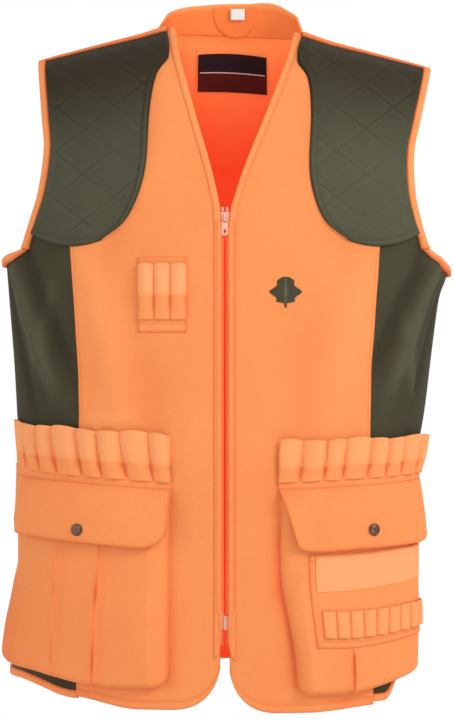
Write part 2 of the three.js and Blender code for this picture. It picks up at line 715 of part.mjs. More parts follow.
function solid(geometry) {
  const bare = geometry.clone();
  for (const name of ["normal", "uv"]) bare.deleteAttribute(name);
  const merged = mergeVertices(bare, 1e-4);
  const mesh = new wasm.Mesh({
    numProp: 3,
    vertProperties: merged.attributes.position.array,
    triVerts: new Uint32Array(merged.index.array),
  });
  return new wasm.Manifold(mesh);
}

function geometryOf(body) {
  const mesh = body.getMesh();
  const geometry = new THREE.BufferGeometry();
  geometry.setAttribute("position", new THREE.BufferAttribute(mesh.vertProperties, 3));
  geometry.setIndex(new THREE.BufferAttribute(mesh.triVerts, 1));
  geometry.computeVertexNormals();
  return geometry;
}

// The slider: a front plate and a back plate joined by a post, with flanges beside the chain and a
// bridge on the front that the pull tab hangs from.
function zipSlider() {
  const top = ZIP_TOP + 1;
  const low = top - SLIDER_TALL;
  const face = ZIP_Y - CHAIN_THICK / 2 - 0.4;
  const rear = ZIP_Y + CHAIN_THICK / 2 + 0.6;
  const pieces = [
    box(-4.3, 4.3, face - 1.3, face, low, top),
    box(-4.3, 4.3, rear, rear + 1.2, low, top),
    box(-0.9, 0.9, face - 0.1, rear + 0.1, top - 3, top),
    box(3.7, 4.3, face - 0.1, ZIP_Y - 0.2, low, top),
    box(-4.3, -3.7, face - 0.1, ZIP_Y - 0.2, low, top),
    box(-1, 1, face - 4.9, face - 1.2, top - 2.6, top - 1.2),
    box(-1, 1, face - 4.9, face - 1.2, top - 9.6, top - 8.2),
    box(-1, 1, face - 4.9, face - 3.8, top - 9.6, top - 1.2),
  ];
  return geometryOf(pieces.map(solid).reduce((a, b) => a.add(b)));
}

const PULL_HINGE = { y: ZIP_Y - CHAIN_THICK / 2 - 2.95, z: ZIP_TOP - 4.4 };

// The pull tab hangs from the slider's bridge, with an eye round the bridge and a slot near its tip.
function zipPullTab() {
  const outline = new THREE.Shape();
  outline.moveTo(-2.8, 0.6).lineTo(-3.4, -15).quadraticCurveTo(-3.4, -18.5, 0, -18.5);
  outline.quadraticCurveTo(3.4, -18.5, 3.4, -15).lineTo(2.8, 0.6).closePath();
  const eye = new THREE.Path();
  eye.moveTo(-1.6, -0.6).lineTo(-1.6, -5.6).lineTo(1.6, -5.6).lineTo(1.6, -0.6).closePath();
  const slot = new THREE.Path();
  slot.absellipse(0, -14.2, 1.6, 2.1, 0, 2 * Math.PI);
  outline.holes.push(eye, slot);
  return plate(outline, -0.5, 0.5).translate(0, PULL_HINGE.y, PULL_HINGE.z);
}

// ---- Assembly -----------------------------------------------------------------------------------

const GAME = { top: -410, bottom: -660, half: 140, swell: 16 };

function gamePouch() {
  const wall = 1.8;
  const bulge = (s, t) => {
    const edge = clamp(Math.min(s, 1 - s) / 0.08, 0, 1) ** 0.5;
    return LAYER_GAP + GAME.swell * edge * lerp(0.55, 1, smoothstep(t, 0, 0.5));
  };
  const columns = [0, 0.004, 0.06, 0.16, 0.3, 0.5, 0.7, 0.84, 0.94, 0.996, 1];
  const lines = [0, 0.15, 0.35, 0.6, 0.8, 0.93, 0.995, 1];
  const grid = (outside) =>
    lines.map((t) =>
      columns.map((s) => {
        const atEdge = s <= 0 || s >= 1 || t >= 1;
        const inset = outside ? 0 : 0.01;
        const level = lerp(GAME.top, GAME.bottom, t * (1 - (outside ? 0 : 0.008)));
        const offset = lerp(-GAME.half, GAME.half, lerp(inset, 1 - inset, s));
        const high = atEdge ? LAYER_GAP : Math.max(LAYER_GAP + 3.2, bulge(clamp(s, 0.03, 0.97), t));
        return lifted(signedAngle(offset, level), -downTo(level), outside || atEdge ? high : high - wall);
      }),
    );
  return shell(grid(true), grid(false));
}

function buildShell() {
  add("back_yoke", backYoke(), paint.orange());
  add(
    "back_panel",
    backSheet({ levels: BACK_LEVELS, edge: panelEdge, lift: -CLOTH, thick: CLOTH }),
    paint.orange(),
  );
  add("back_lining", backLining(), paint.lining());
  add("collar", collar(), paint.orange());
  add("half_moon_facing", halfMoonFacing(), paint.orange());
  add("woven_label", wovenLabel(), paint.label());
  add("game_pouch", gamePouch(), paint.orange());
  add(
    "game_pouch_band",
    backSheet({ levels: [GAME.top + 16, GAME.top + 2], edge: () => GAME.half, lift: LAYER_GAP, thick: 2.2 }),
    paint.orange(),
  );
  add(
    "back_hem_band",
    backSheet({
      levels: [SIDE_HEM + 9, SIDE_HEM - 2],
      edge: (level) => seamEdge(level) - SEAM,
      lift: LAYER_GAP,
      thick: TAPE_THICK,
    }),
    paint.orange(),
  );
  for (const side of [RIGHT, LEFT]) {
    const name = sideName(side);
    add(name + "_side_panel", sidePanel(side), paint.olive());
    add(name + "_side_hem_band", sideHemBand(side), paint.orange());
    add(name + "_armhole_binding_back", armholeBinding(side, -1), paint.orange());
  }
}

function buildFront(side) {
  const name = sideName(side);
  add(name + "_front_panel", frontPanel(side), paint.orange());
  add(name + "_shoulder_pad", shoulderPad(side), paint.olive());
  add(name + "_placket", placket(side), paint.orange());
  add(name + "_neck_binding", neckBinding(side), paint.orange());
  add(name + "_armhole_binding_front", armholeBinding(side, 1), paint.orange());
  add(name + "_shell_loops", shellLoops(side), paint.elastic());
  add(name + "_flap_seam", flapSeam(side), paint.orange());
  add(name + "_cargo_pocket", cargoPocket(side), paint.orange());
  add(name + "_pocket_flap", pocketFlap(side), paint.orange());
  add(name + "_zip_tape", zipTape(side), paint.lining());
  add(name + "_zip_teeth", zipTeeth(side), paint.nylon());
  const stop = box(side * 1.2, side * 3.4, ZIP_Y - 1.2, ZIP_Y + 1.2, ZIP_TOP + 6, ZIP_TOP + 2);
  add(name + "_zip_top_stop", stop, paint.nylon());
  addSnaps(side);
}

function buildExtras() {
  const patch = sheet({
    across: 3,
    down: 3,
    place: chestPlace(CHEST_TOP, CHEST_BOTTOM, 0),
    lift: LAYER_GAP,
    thick: TAPE_THICK,
  });
  add("chest_patch", patch, paint.orange());
  const loops = loopBand({
    count: 3,
    place: chestPlace(CHEST_TOP, CHEST_BOTTOM + 11, 1),
    lift: LAYER_GAP + TAPE_THICK + 1.2,
    swell: 7.5,
    down: 3,
  });
  add("chest_loops", loops, paint.elastic());

  const { from, to, top, bottom } = PATCH;
  add("rifle_patch", onPocket({ ...PATCH, off: 1.2, thick: 1.2, across: 8, down: 4 }), paint.orange());
  const band = { from: from + 0.02, to: to - 0.02, off: 3.4 };
  add(
    "wide_elastic_band",
    onPocket({ ...band, top: top - 4, bottom: top - 42, thick: 1.2, across: 7 }),
    paint.elastic(),
  );
  const count = 9;
  const columns = Array.from({ length: count }, (_, i) => [0, 0.2, 0.5, 0.8].map((k) => (i + k) / count)).flat();
  const bow = (s) => (s > 0.9999 ? 0 : 6 * Math.sin(Math.PI * ((s * count) % 1)) ** 0.6);
  add(
    "rifle_loops",
    onPocket({
      ...band,
      top: bottom + 42,
      bottom: bottom + 12,
      thick: 1.2,
      across: [...columns, 1],
      down: 1,
      bow,
    }),
    paint.elastic(),
  );

  const leaf = between({
    side: LEFT,
    top: () => downTo(-262),
    bottom: -292,
    inner: () => 46,
    outer: () => 76,
  });
  add("embroidered_motif", sheet({ across: 2, down: 2, place: leaf, lift: 1.2, thick: 0.8 }), paint.olive());
}

function buildZipEnds() {
  add("zip_slider", zipSlider(), paint.nylon());
  add("zip_pull_tab", zipPullTab(), paint.nylon());
  add("zip_retaining_box", box(-1, 4.2, ZIP_Y - 1.6, ZIP_Y + 1.6, -602, -616), paint.nylon());
  add("zip_pin", box(-4.2, -1.6, ZIP_Y - 1.2, ZIP_Y + 1.2, -600, -615), paint.nylon());
}

// The size tab hangs inside the neck band, from a fold just under the band's top edge.
const TAB = { x0: 6, x1: 21, tall: 12 };

function sizeTab() {
  const seat = standPoint(0.48, 0.9, CLOTH + 1 + TAPE_THICK + 1.2);
  return box(TAB.x0, TAB.x1, seat.y - 0.8, seat.y, seat.z, seat.z - TAB.tall);
}

buildShell();
buildFront(RIGHT);
buildFront(LEFT);
buildExtras();
buildZipEnds();
add("size_tab", sizeTab(), paint.white());

export default root;
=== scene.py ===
import math

import bpy
import numpy as np
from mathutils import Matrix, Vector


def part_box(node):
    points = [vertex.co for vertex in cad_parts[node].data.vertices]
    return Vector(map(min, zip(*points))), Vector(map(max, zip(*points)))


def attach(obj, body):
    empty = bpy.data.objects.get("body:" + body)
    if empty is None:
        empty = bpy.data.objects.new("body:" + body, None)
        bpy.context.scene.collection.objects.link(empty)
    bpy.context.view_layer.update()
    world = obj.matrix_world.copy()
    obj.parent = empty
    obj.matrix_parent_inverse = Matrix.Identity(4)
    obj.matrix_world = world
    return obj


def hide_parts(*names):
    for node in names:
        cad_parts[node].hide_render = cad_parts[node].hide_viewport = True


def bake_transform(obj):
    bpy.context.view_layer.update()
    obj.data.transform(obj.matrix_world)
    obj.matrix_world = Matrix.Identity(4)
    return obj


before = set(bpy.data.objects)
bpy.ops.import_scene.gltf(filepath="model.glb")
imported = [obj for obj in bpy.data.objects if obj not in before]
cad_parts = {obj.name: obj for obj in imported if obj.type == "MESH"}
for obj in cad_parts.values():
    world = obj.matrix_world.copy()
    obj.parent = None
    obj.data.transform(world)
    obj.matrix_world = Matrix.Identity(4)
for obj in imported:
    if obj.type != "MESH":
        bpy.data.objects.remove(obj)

# The looks of a blaze orange field vest around its CAD frame. Cloth is worked out in millimetres on the
# same torso surface as the frame's solids: a place is (phi, v), the angle round the body from the middle
# of the front, and the distance down the cloth from the shoulder ridge, positive on the front.

MM = 0.001
RIGHT, LEFT = -1, 1  # the wearer's sides; the wearer's right is at -X
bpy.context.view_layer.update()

# ---- Driving sizes: the frame's own, but for SETTLE --------------------------------------------------

FRONT_DEPTH, BACK_DEPTH = 125, 115  # from the middle of the body
ROUNDNESS, RIDGE_ROUNDNESS = 2.4, 1.7
RIDGE_DROP, RIDGE_ARC = 195, 230
NECK_HALF, SHOULDER_SLOPE = 72, 0.262
LEAN, LEAN_ENDS, NECK_TILT, TILT_REACH = 10, -205, 3.5, 60
NAPE_RISE, NAPE_REACH, NAPE_WIDE, NECK_BACK = 38, 190, 90, 80
SETTLE = {RIGHT: 1.6, LEFT: 2.3}  # how far the shoulders settle below the frame's,
SETTLE_SPAN = (70, 105)  # coming down to it between these distances from the middle
BINDING_WIDE, HEM_WIDE = 8, 8
ZIP_HALF_GAP = 3.4
HEM, SIDE_HEM, YOKE_LOW = -700, -688, -118
LOOPS_TOP, LOOPS_BOTTOM = -415, -459
FLAP_TOP, FLAP_BOTTOM = -466, -531
MOUTH, POCKET_BOTTOM, POCKET_INNER = -483, -674, 56
POCKET_OUTER = math.radians(80)
SNAP_X, SNAP_LEVEL = 142, -516
ARMHOLE_LOW = {RIGHT: -241, LEFT: -251}
YOKE_FORWARD = (32, 15)
QUARTER = math.pi / 2


class Line:
    """A smooth line through (key, value) points whose keys fall; flat beyond both ends."""

    def __init__(self, points):
        pts = np.array(points[::-1], float)
        self.k, self.v = pts[:, 0], pts[:, 1]
        lo, hi = np.arange(len(pts)) - 1, np.arange(len(pts)) + 1
        lo, hi = lo.clip(0), hi.clip(max=len(pts) - 1)
        self.m = (self.v[hi] - self.v[lo]) / (self.k[hi] - self.k[lo])

    def __call__(self, key):
        key = np.clip(np.asarray(key, float), self.k[0], self.k[-1])
        i = np.clip(np.searchsorted(self.k, key, side="right") - 1, 0, len(self.k) - 2)
        span = self.k[i + 1] - self.k[i]
        t = (key - self.k[i]) / span
        a, b = self.v[i], self.v[i + 1]
        rise = (t**3 - 2 * t**2 + t) * span * self.m[i] + (t**3 - t**2) * span * self.m[i + 1]
        return (2 * t**3 - 3 * t**2 + 1) * a + (3 * t**2 - 2 * t**3) * b + rise


SIDE_LINE = {
    RIGHT: Line([(-240, 232), (-300, 227), (-350, 223), (-400, 220), (-450, 217), (-700, 217)]),
    LEFT: Line([
        (-240, 232), (-257, 235), (-278, 228), (-300, 224),
        (-350, 217), (-400, 211), (-450, 204), (-700, 192),
    ]),
}
ARMHOLE = Line([(0, 206), (-40, 200), (-80, 194), (-120, 189), (-170, 192), (-205, 200), (-232, 211)])
NECK_EDGE = Line([(0, 62), (-30, 56), (-60, 47), (-100, 34), (-150, 17), (-190, 6), (-202, 4.7)])
PAD_EDGE = Line([
    (0, 70), (-36, 66), (-54, 77), (-90, 82), (-150, 82.5), (-180, 89), (-204, 102), (-220, 124),
])
PAD_BOTTOM, PAD_TALL = -221, 236
SIDE_SEAM = Line([(-220, 156), (-300, 151), (-420, 146), (-700, 150)])


def smooth(x, lo, hi):
    """A soft step: 0 up to lo, 1 from hi on."""
    t = np.clip((np.asarray(x, float) - lo) / (hi - lo), 0, 1)
    return t * t * (3 - 2 * t)


def mix(a, b, t):
    return a + (b - a) * t


def rounded(x):
    """The rise of a quarter circle: steep at 0, level from 1 on."""
    return np.sqrt(1 - (1 - np.clip(x, 0, 1)) ** 2)


def steady(value):
    """A line that has one value everywhere."""
    return lambda key: 0 * key + value


def even_grid(cols, rows):
    """Shares from 0 to 1: s across and t down."""
    return np.meshgrid(np.linspace(0, 1, cols), np.linspace(0, 1, rows))


# ---- The torso surface ------------------------------------------------------------------------------


def level_at(v):
    """The level that a distance down the cloth comes to, before the shoulder's slope."""
    down = np.abs(v)
    turn = np.minimum(down / RIDGE_ARC, 1) * QUARTER
    curved = -RIDGE_DROP * (1 - np.maximum(np.cos(turn), 0) ** (2 / RIDGE_ROUNDNESS))
    return np.where(down >= RIDGE_ARC, -RIDGE_DROP - (down - RIDGE_ARC), curved)


def down_to(level):
    """The distance down the cloth to a level."""
    level = np.asarray(level, float)
    cosine = np.clip(1 + level / RIDGE_DROP, 0, 1) ** (RIDGE_ROUNDNESS / 2)
    curved = np.arccos(cosine) / QUARTER * RIDGE_ARC
    return np.where(level <= -RIDGE_DROP, RIDGE_ARC - RIDGE_DROP - level, curved)


def half_width(level, side):
    return np.where(np.asarray(side) < 0, SIDE_LINE[RIGHT](level), SIDE_LINE[LEFT](level))


def torso(phi, v):
    """The point of the plain torso at a place."""
    level = level_at(v)
    side = np.where(phi < 0, RIGHT, LEFT)
    turn = np.minimum(np.abs(v) / RIDGE_ARC, 1) * QUARTER
    reach = np.sin(turn) ** (2 / RIDGE_ROUNDNESS)
    high = 1 - np.clip(-level / RIDGE_DROP, 0, 1)
    x = side * half_width(level, side) * np.abs(np.sin(phi)) ** (2 / ROUNDNESS)
    cosine = np.cos(phi)
    deep = np.sign(cosine) * np.abs(cosine) ** (2 / ROUNDNESS) * reach
    slope = -SHOULDER_SLOPE * np.maximum(0, np.abs(x) - NECK_HALF) - NECK_TILT * np.tanh(x / TILT_REACH)
    slope = slope - np.where(x < 0, SETTLE[RIGHT], SETTLE[LEFT]) * smooth(np.abs(x), *SETTLE_SPAN)
    nape = np.where((v < 0) & (-v < NAPE_REACH), np.sin(math.pi * -v / NAPE_REACH) ** 2, 0)
    rise = NAPE_RISE * nape * np.exp(-((x / NAPE_WIDE) ** 2))
    y = np.where(v >= 0, -FRONT_DEPTH * deep, BACK_DEPTH * deep)
    y = np.where(cosine < 0, y * (BACK_DEPTH / FRONT_DEPTH), y)
    lean = LEAN * np.clip(1 - level / LEAN_ENDS, 0, 1)
    return np.stack([x + lean, y, level + slope * high + rise], axis=-1)


def normal_at(phi, v):
    across = torso(phi + 0.02, v) - torso(phi - 0.02, v)
    down = torso(phi, v + 2) - torso(phi, v - 2)
    n = -np.cross(across, down)
    return n / np.maximum(np.linalg.norm(n, axis=-1, keepdims=True), 1e-9)


def angle_at(half, level, side):
    """The angle round the body of a distance from the middle."""
    share = np.clip(np.asarray(half) / half_width(level, side), 0, 1)
    return side * np.arcsin(share ** (ROUNDNESS / 2))


def signed_angle(offset, level):
    return angle_at(np.abs(offset), level, np.where(offset < 0, RIGHT, LEFT))


ROUND_REACH = 200.0  # roughly how much cloth, in millimetres, a radian round the body takes


def fold(phi, v, start, end, wide, tall):
    """A soft fold of cloth from start to end, each (degrees round the body, cloth distance down)."""
    a = np.array([math.radians(start[0]) * ROUND_REACH, start[1]])
    b = np.array([math.radians(end[0]) * ROUND_REACH, end[1]])
    run = b - a
    length = np.hypot(*run)
    x, y = phi * ROUND_REACH - a[0], v - a[1]
    along = (x * run[0] + y * run[1]) / length
    off = (x * -run[1] + y * run[0]) / length
    fade = smooth(along, -0.15 * length, 0.25 * length) * (1 - smooth(along, 0.7 * length, 1.15 * length))
    return tall * np.exp(-((off / wide) ** 2)) * fade


FOLDS = [
    # start, end, width, height
    ((-62, 258), (-40, 400), 13, -5.0),
    ((-72, 275), (-48, 420), 12, 5.0),
    ((-82, 290), (-60, 440), 12, -4.4),
    ((-46, 300), (-60, 390), 11, 3.2),
    ((60, 258), (40, 400), 13, -4.8),
    ((70, 270), (48, 420), 12, 4.8),
    ((82, 300), (62, 440), 12, -4.0),
    ((50, 330), (66, 430), 10, 3.0),
    ((-34, 262), (-24, 470), 18, 2.8),
    ((34, 265), (26, 470), 18, 2.8),
    ((-22, 300), (-11, 560), 20, -2.4),
    ((22, 310), (11, 560), 20, -2.2),
    ((-16, 120), (-30, 300), 15, -2.4),
    ((16, 120), (30, 300), 15, -2.2),
    ((-20, 440), (-38, 446), 9, 3.0),
    ((22, 500), (8, 560), 11, 3.6),
    ((24, 540), (9, 640), 12, -3.6),
    ((-10, 520), (-25, 735), 20, 2.4),
    ((10, 600), (24, 735), 20, 2.4),
    ((20, -240), (8, -470), 34, 5.0),
    ((-24, -250), (-10, -480), 34, -4.5),
    ((34, -130), (26, -330), 22, -3.6),
    ((-34, -130), (-26, -330), 22, -3.6),
]


def drape(phi, v):
    """How far the cloth hangs off the plain torso; every layer shares it."""
    behind = np.abs(phi) > QUARTER
    turned = np.where(behind, np.sign(phi) * math.pi - phi, phi)
    total = np.zeros(np.broadcast(phi, v).shape)
    for start, end, wide, tall in FOLDS:
        total = total + fold(turned, np.where(behind, -v, v), start, end, wide, tall)
    sideways, down = np.sin(phi), np.abs(v)
    # the hem flares on the wearer's right
    total = total + 9 * smooth(down, 610, 715) * smooth(-sideways, 0.8, 0.98)
    ripple = 0.5 * np.sin(7 * sideways + down / 47) * np.sin(down / 83 + 2 * sideways)
    ripple = ripple + 0.3 * np.sin(15 * sideways - down / 31)
    # the cloth lies calm at the shoulder ridge, beside the zip and round the snaps
    calm = smooth(down, 20, 140) * smooth(np.abs(turned), 0.03, 0.16)
    for side in (RIGHT, LEFT):
        snap_phi, snap_v = angle_at(SNAP_X, SNAP_LEVEL, side), down_to(SNAP_LEVEL)
        near = ((turned - snap_phi) * ROUND_REACH) ** 2 + (v - snap_v) ** 2
        calm = calm * (1 - np.exp(-near / 28**2))
    return (total + ripple) * calm


def lifted(phi, v, lift):
    """Points a lift above the draped torso, and the torso's normals there."""
    n = normal_at(phi, v)
    return torso(phi, v) + n * (np.asarray(lift) + drape(phi, v))[..., None], n


# ---- Meshes -----------------------------------------------------------------------------------------


def add_object(name, data):
    made = bpy.data.objects.new(name, data)
    bpy.context.scene.collection.objects.link(made)
    return made


def make_mesh(name, points, faces, material, uv=None):
    mesh = bpy.data.meshes.new(name)
    mesh.from_pydata((np.asarray(points) * MM).tolist(), [], faces)
    mesh.polygons.foreach_set("use_smooth", [True] * len(mesh.polygons))
    if uv is not None:
        layer = mesh.uv_layers.new(name="UVMap")
        loop_vertex = np.empty(len(mesh.loops), int)
        mesh.loops.foreach_get("vertex_index", loop_vertex)
        layer.data.foreach_set("uv", np.asarray(uv, float)[loop_vertex].ravel())
    mesh.materials.append(material)
    mesh.validate()
    return add_object(name, mesh)


def shell(name, outer, inner, material, uv):
    """A closed solid between two grids of points (rows, columns, 3)."""
    rows, cols = outer.shape[:2]
    k = np.arange(rows * cols).reshape(rows, cols)
    m = k + rows * cols
    quads = [np.stack([k[:-1, :-1], k[1:, :-1], k[1:, 1:], k[:-1, 1:]], -1).reshape(-1, 4)]
    quads.append(np.stack([m[:-1, :-1], m[:-1, 1:], m[1:, 1:], m[1:, :-1]], -1).reshape(-1, 4))
    for a, b, flip in ((k[0], m[0], 0), (k[-1], m[-1], 1), (k[:, 0], m[:, 0], 1), (k[:, -1], m[:, -1], 0)):
        rim = np.stack([a[:-1], a[1:], b[1:], b[:-1]], -1)
        quads.append(rim[:, ::-1] if flip else rim)
    faces = np.concatenate(quads)
    points = np.concatenate([outer.reshape(-1, 3), inner.reshape(-1, 3)])
    p = points[faces[:, :3]]
    volume = np.einsum("ij,ij->i", p[:, 0], np.cross(p[:, 1], p[:, 2])).sum()
    if volume < 0:
        faces = faces[:, ::-1]
    return make_mesh(name, points, faces.tolist(), material, np.concatenate([uv.reshape(-1, 2)] * 2))


def spread(count, length, edge=(0.5, 1.3, 2.6)):
    """Positions from 0 to 1, with more near both ends, for a stretch of the given length."""
    near = [e / length for e in edge if e / length < 0.45 / count]
    inside = np.linspace(0, 1, count + 1)
    return np.unique(np.concatenate([inside, near, 1 - np.array(near)]).round(7))


UV_UNIT = 100  # millimetres of cloth to one unit of texture
STITCH_PITCH, STITCH_LONG, STITCH_THICK = 3.4, 2.3, 0.42
STITCH_SUNK = 0.12
GROOVE_DEEP, GROOVE_WIDE = 0.55, 1.1  # topstitching pulls the cloth in,
PUFF_HIGH = 0.25  # and beside it the hem puffs up


def nearest(gaps):
    """The distance to the nearest of a cloth's four edges."""
    return np.minimum(np.minimum(gaps["left"], gaps["right"]), np.minimum(gaps["top"], gaps["bottom"]))


SAMPLES = 41  # points each way when a cloth is measured


class Cloth:
    """A piece of cloth laid on the torso.

    place(s, t) gives (phi, v). lift and thick are millimetres or functions of (s, t, d), where d is the
    distance to the nearest edge. stitched maps an edge, "left", "right", "top" or "bottom" of the grid,
    to how far in its topstitching runs.
    """

    def __init__(self, place, lift, thick, stitched=(), roll=1.1):
        self.place, self.lift, self.thick, self.roll = place, lift, thick, roll
        self.stitched = [(e, o) for e, offs in dict(stitched).items() for o in np.atleast_1d(offs)]
        p = torso(*place(*even_grid(SAMPLES, SAMPLES)))
        self.runs = np.linalg.norm(np.diff(p, axis=1), axis=-1).sum(1)
        self.falls = np.linalg.norm(np.diff(p, axis=0), axis=-1).sum(0)
        self.size = float(self.runs.mean()), float(self.falls.mean())

    def wide(self, t):
        """How wide the cloth is at a share of the way down."""
        return np.interp(t, np.linspace(0, 1, SAMPLES), self.runs)

    def tall(self, s):
        """How tall the cloth is at a share of the way across."""
        return np.interp(s, np.linspace(0, 1, SAMPLES), self.falls)

    def gaps(self, s, t):
        """Distances to the four edges."""
        w, h = self.wide(t), self.tall(s)
        return {"left": s * w, "right": (1 - s) * w, "top": t * h, "bottom": (1 - t) * h}

    def heights(self, s, t):
        """The inner face's height over the torso, and the thickness above it."""
        gaps = self.gaps(s, t)
        d = nearest(gaps)

        def value(f):
            return f(s, t, d) if callable(f) else np.full(s.shape, float(f))

        base = value(self.lift)
        body = value(self.thick) * mix(0.25, 1, rounded(d / self.roll))
        for edge, offset in self.stitched:
            gap = gaps[edge]
            body = body - GROOVE_DEEP * np.exp(-(((gap - offset) / GROOVE_WIDE) ** 2)) * smooth(d, 0.4, 2)
            puff = PUFF_HIGH * np.exp(-(((gap - offset * 0.5) / (0.4 * offset + 0.3)) ** 2))
            body = body + puff * smooth(d, 0, 1)
        return base, body

    def face(self, s, t, extra=0.0):
        """Points and normals on the outer face."""
        base, body = self.heights(s, t)
        return lifted(*self.place(s, t), base + body + extra)

    def grid(self, across, down, cols=None):
        """Shares for a mesh with so many cells each way; cols gives the columns outright."""
        cols = spread(across, self.size[0]) if cols is None else cols
        return np.meshgrid(cols, spread(down, self.size[1]))

    def build(self, name, material, s, t):
        base, body = self.heights(s, t)
        where = self.place(s, t)
        outer, _ = lifted(*where, base + body)
        inner, _ = lifted(*where, base)
        uv = np.stack([s * self.size[0], -t * self.size[1]], -1) / UV_UNIT
        return shell(name, outer, inner, material, uv)

    def seams(self, name, material):
        """Topstitching along the stitched edges."""
        lines = []
        run = np.linspace(0.004, 0.996, 400)
        for edge, offset in self.stitched:
            if edge in ("left", "right"):
                s = offset / self.wide(run)
                lines.append((s if edge == "left" else 1 - s, run))
            else:
                t = offset / self.tall(run)
                lines.append((run, t if edge == "top" else 1 - t))
        paths = [self.face(np.clip(s, 0, 1), np.clip(t, 0, 1), 0.05) for s, t in lines]
        return stitches(name, paths, material)


def stitches(name, lines, material):
    """Raised threads along lines of (points, normals)."""
    points, faces = [], []
    ring = [(0.0, 0.25), (0.35, 1.0), (0.65, 1.0), (1.0, 0.25)]  # share of the stitch, how full it is there

    def sample(values, distances, reach):
        return np.stack([np.interp(distances, reach, values[:, i]) for i in range(3)], -1)

    for path, normals in lines:
        step = np.linalg.norm(np.diff(path, axis=0), axis=1)
        reach = np.concatenate([[0], np.cumsum(step)])
        starts = np.arange(1.0, reach[-1] - STITCH_LONG - 0.5, STITCH_PITCH)
        if not len(starts):
            continue
        a, b = sample(path, starts, reach), sample(path, starts + STITCH_LONG, reach)
        n = sample(normals, starts, reach)
        along = b - a
        along /= np.linalg.norm(along, axis=1, keepdims=True)
        side = np.cross(along, n)
        for i in range(len(starts)):
            first = len(points)
            for share, full in ring:
                centre = a[i] + (b[i] - a[i]) * share
                r = STITCH_THICK * full
                points.append(centre + side[i] * r * 0.8 - n[i] * STITCH_SUNK)
                points.append(centre + n[i] * r)
                points.append(centre - side[i] * r * 0.8 - n[i] * STITCH_SUNK)
            for k in range(3):
                j = first + 3 * k
                faces += [(j, j + 3, j + 4, j + 1), (j + 1, j + 4, j + 5, j + 2), (j + 2, j + 5, j + 3, j)]
            faces += [(first, first + 1, first + 2), (first + 11, first + 10, first + 9)]
    return make_mesh(name, np.array(points), faces, material) if points else None


def between(side, top, bottom, inner, outer, sag=None):
    """place() for cloth on the front that spans from one half-width to another at each level."""

    def place(s, t):
        start = top(0 * s)
        level = level_at(mix(start, down_to(bottom), t) + (top(s) - start) * (1 - t) ** 8)
        half = mix(inner(level), outer(level), s)
        settled = level + (sag(half, t, s, level) if sag else 0)
        return angle_at(half, settled, side), down_to(settled)

    return place


def evenly(phi0, phi1, level):
    """share -> angle, so that equal shares are equal lengths of cloth at a level."""
    angles = np.linspace(phi0, phi1, 121)
    points = torso(angles, np.full(121, float(down_to(level))))
    lengths = np.concatenate([[0], np.cumsum(np.linalg.norm(np.diff(points, axis=0), axis=1))])
    return lambda share: np.interp(share, lengths / lengths[-1], angles)


def arch(x):
    """A row of round humps, one for each whole step of x."""
    return np.abs(np.sin(math.pi * np.asarray(x)))


# ---- Materials --------------------------------------------------------------------------------------


def new_material(name):
    """A material, its shader, a function that adds a node and links or sets its inputs, and the tree."""
    material = bpy.data.materials.new(name)
    material.use_nodes = True
    tree = material.node_tree
    tree.nodes.clear()
    shader = tree.nodes.new("ShaderNodeBsdfPrincipled")
    out = tree.nodes.new("ShaderNodeOutputMaterial")
    tree.links.new(shader.outputs["BSDF"], out.inputs["Surface"])

    def node(kind, inputs=None, **settings):
        made = tree.nodes.new("ShaderNode" + kind)
        for key, value in settings.items():
            setattr(made, key, value)
        for key, value in (inputs or {}).items():
            if isinstance(value, bpy.types.NodeSocket):
                tree.links.new(value, made.inputs[key])
            else:
                made.inputs[key].default_value = value
        return made

    return material, shader, node, tree


def rgba(colour):
    return (*colour, 1.0)


SHADE_TINT = (0.86, 0.4, 0.36)  # a shadow between layers of orange cloth is redder than the cloth


def waves(pitch):
    """The scale of a wave texture that repeats every pitch millimetres of cloth."""
    return UV_UNIT / pitch / 20.0 * math.pi


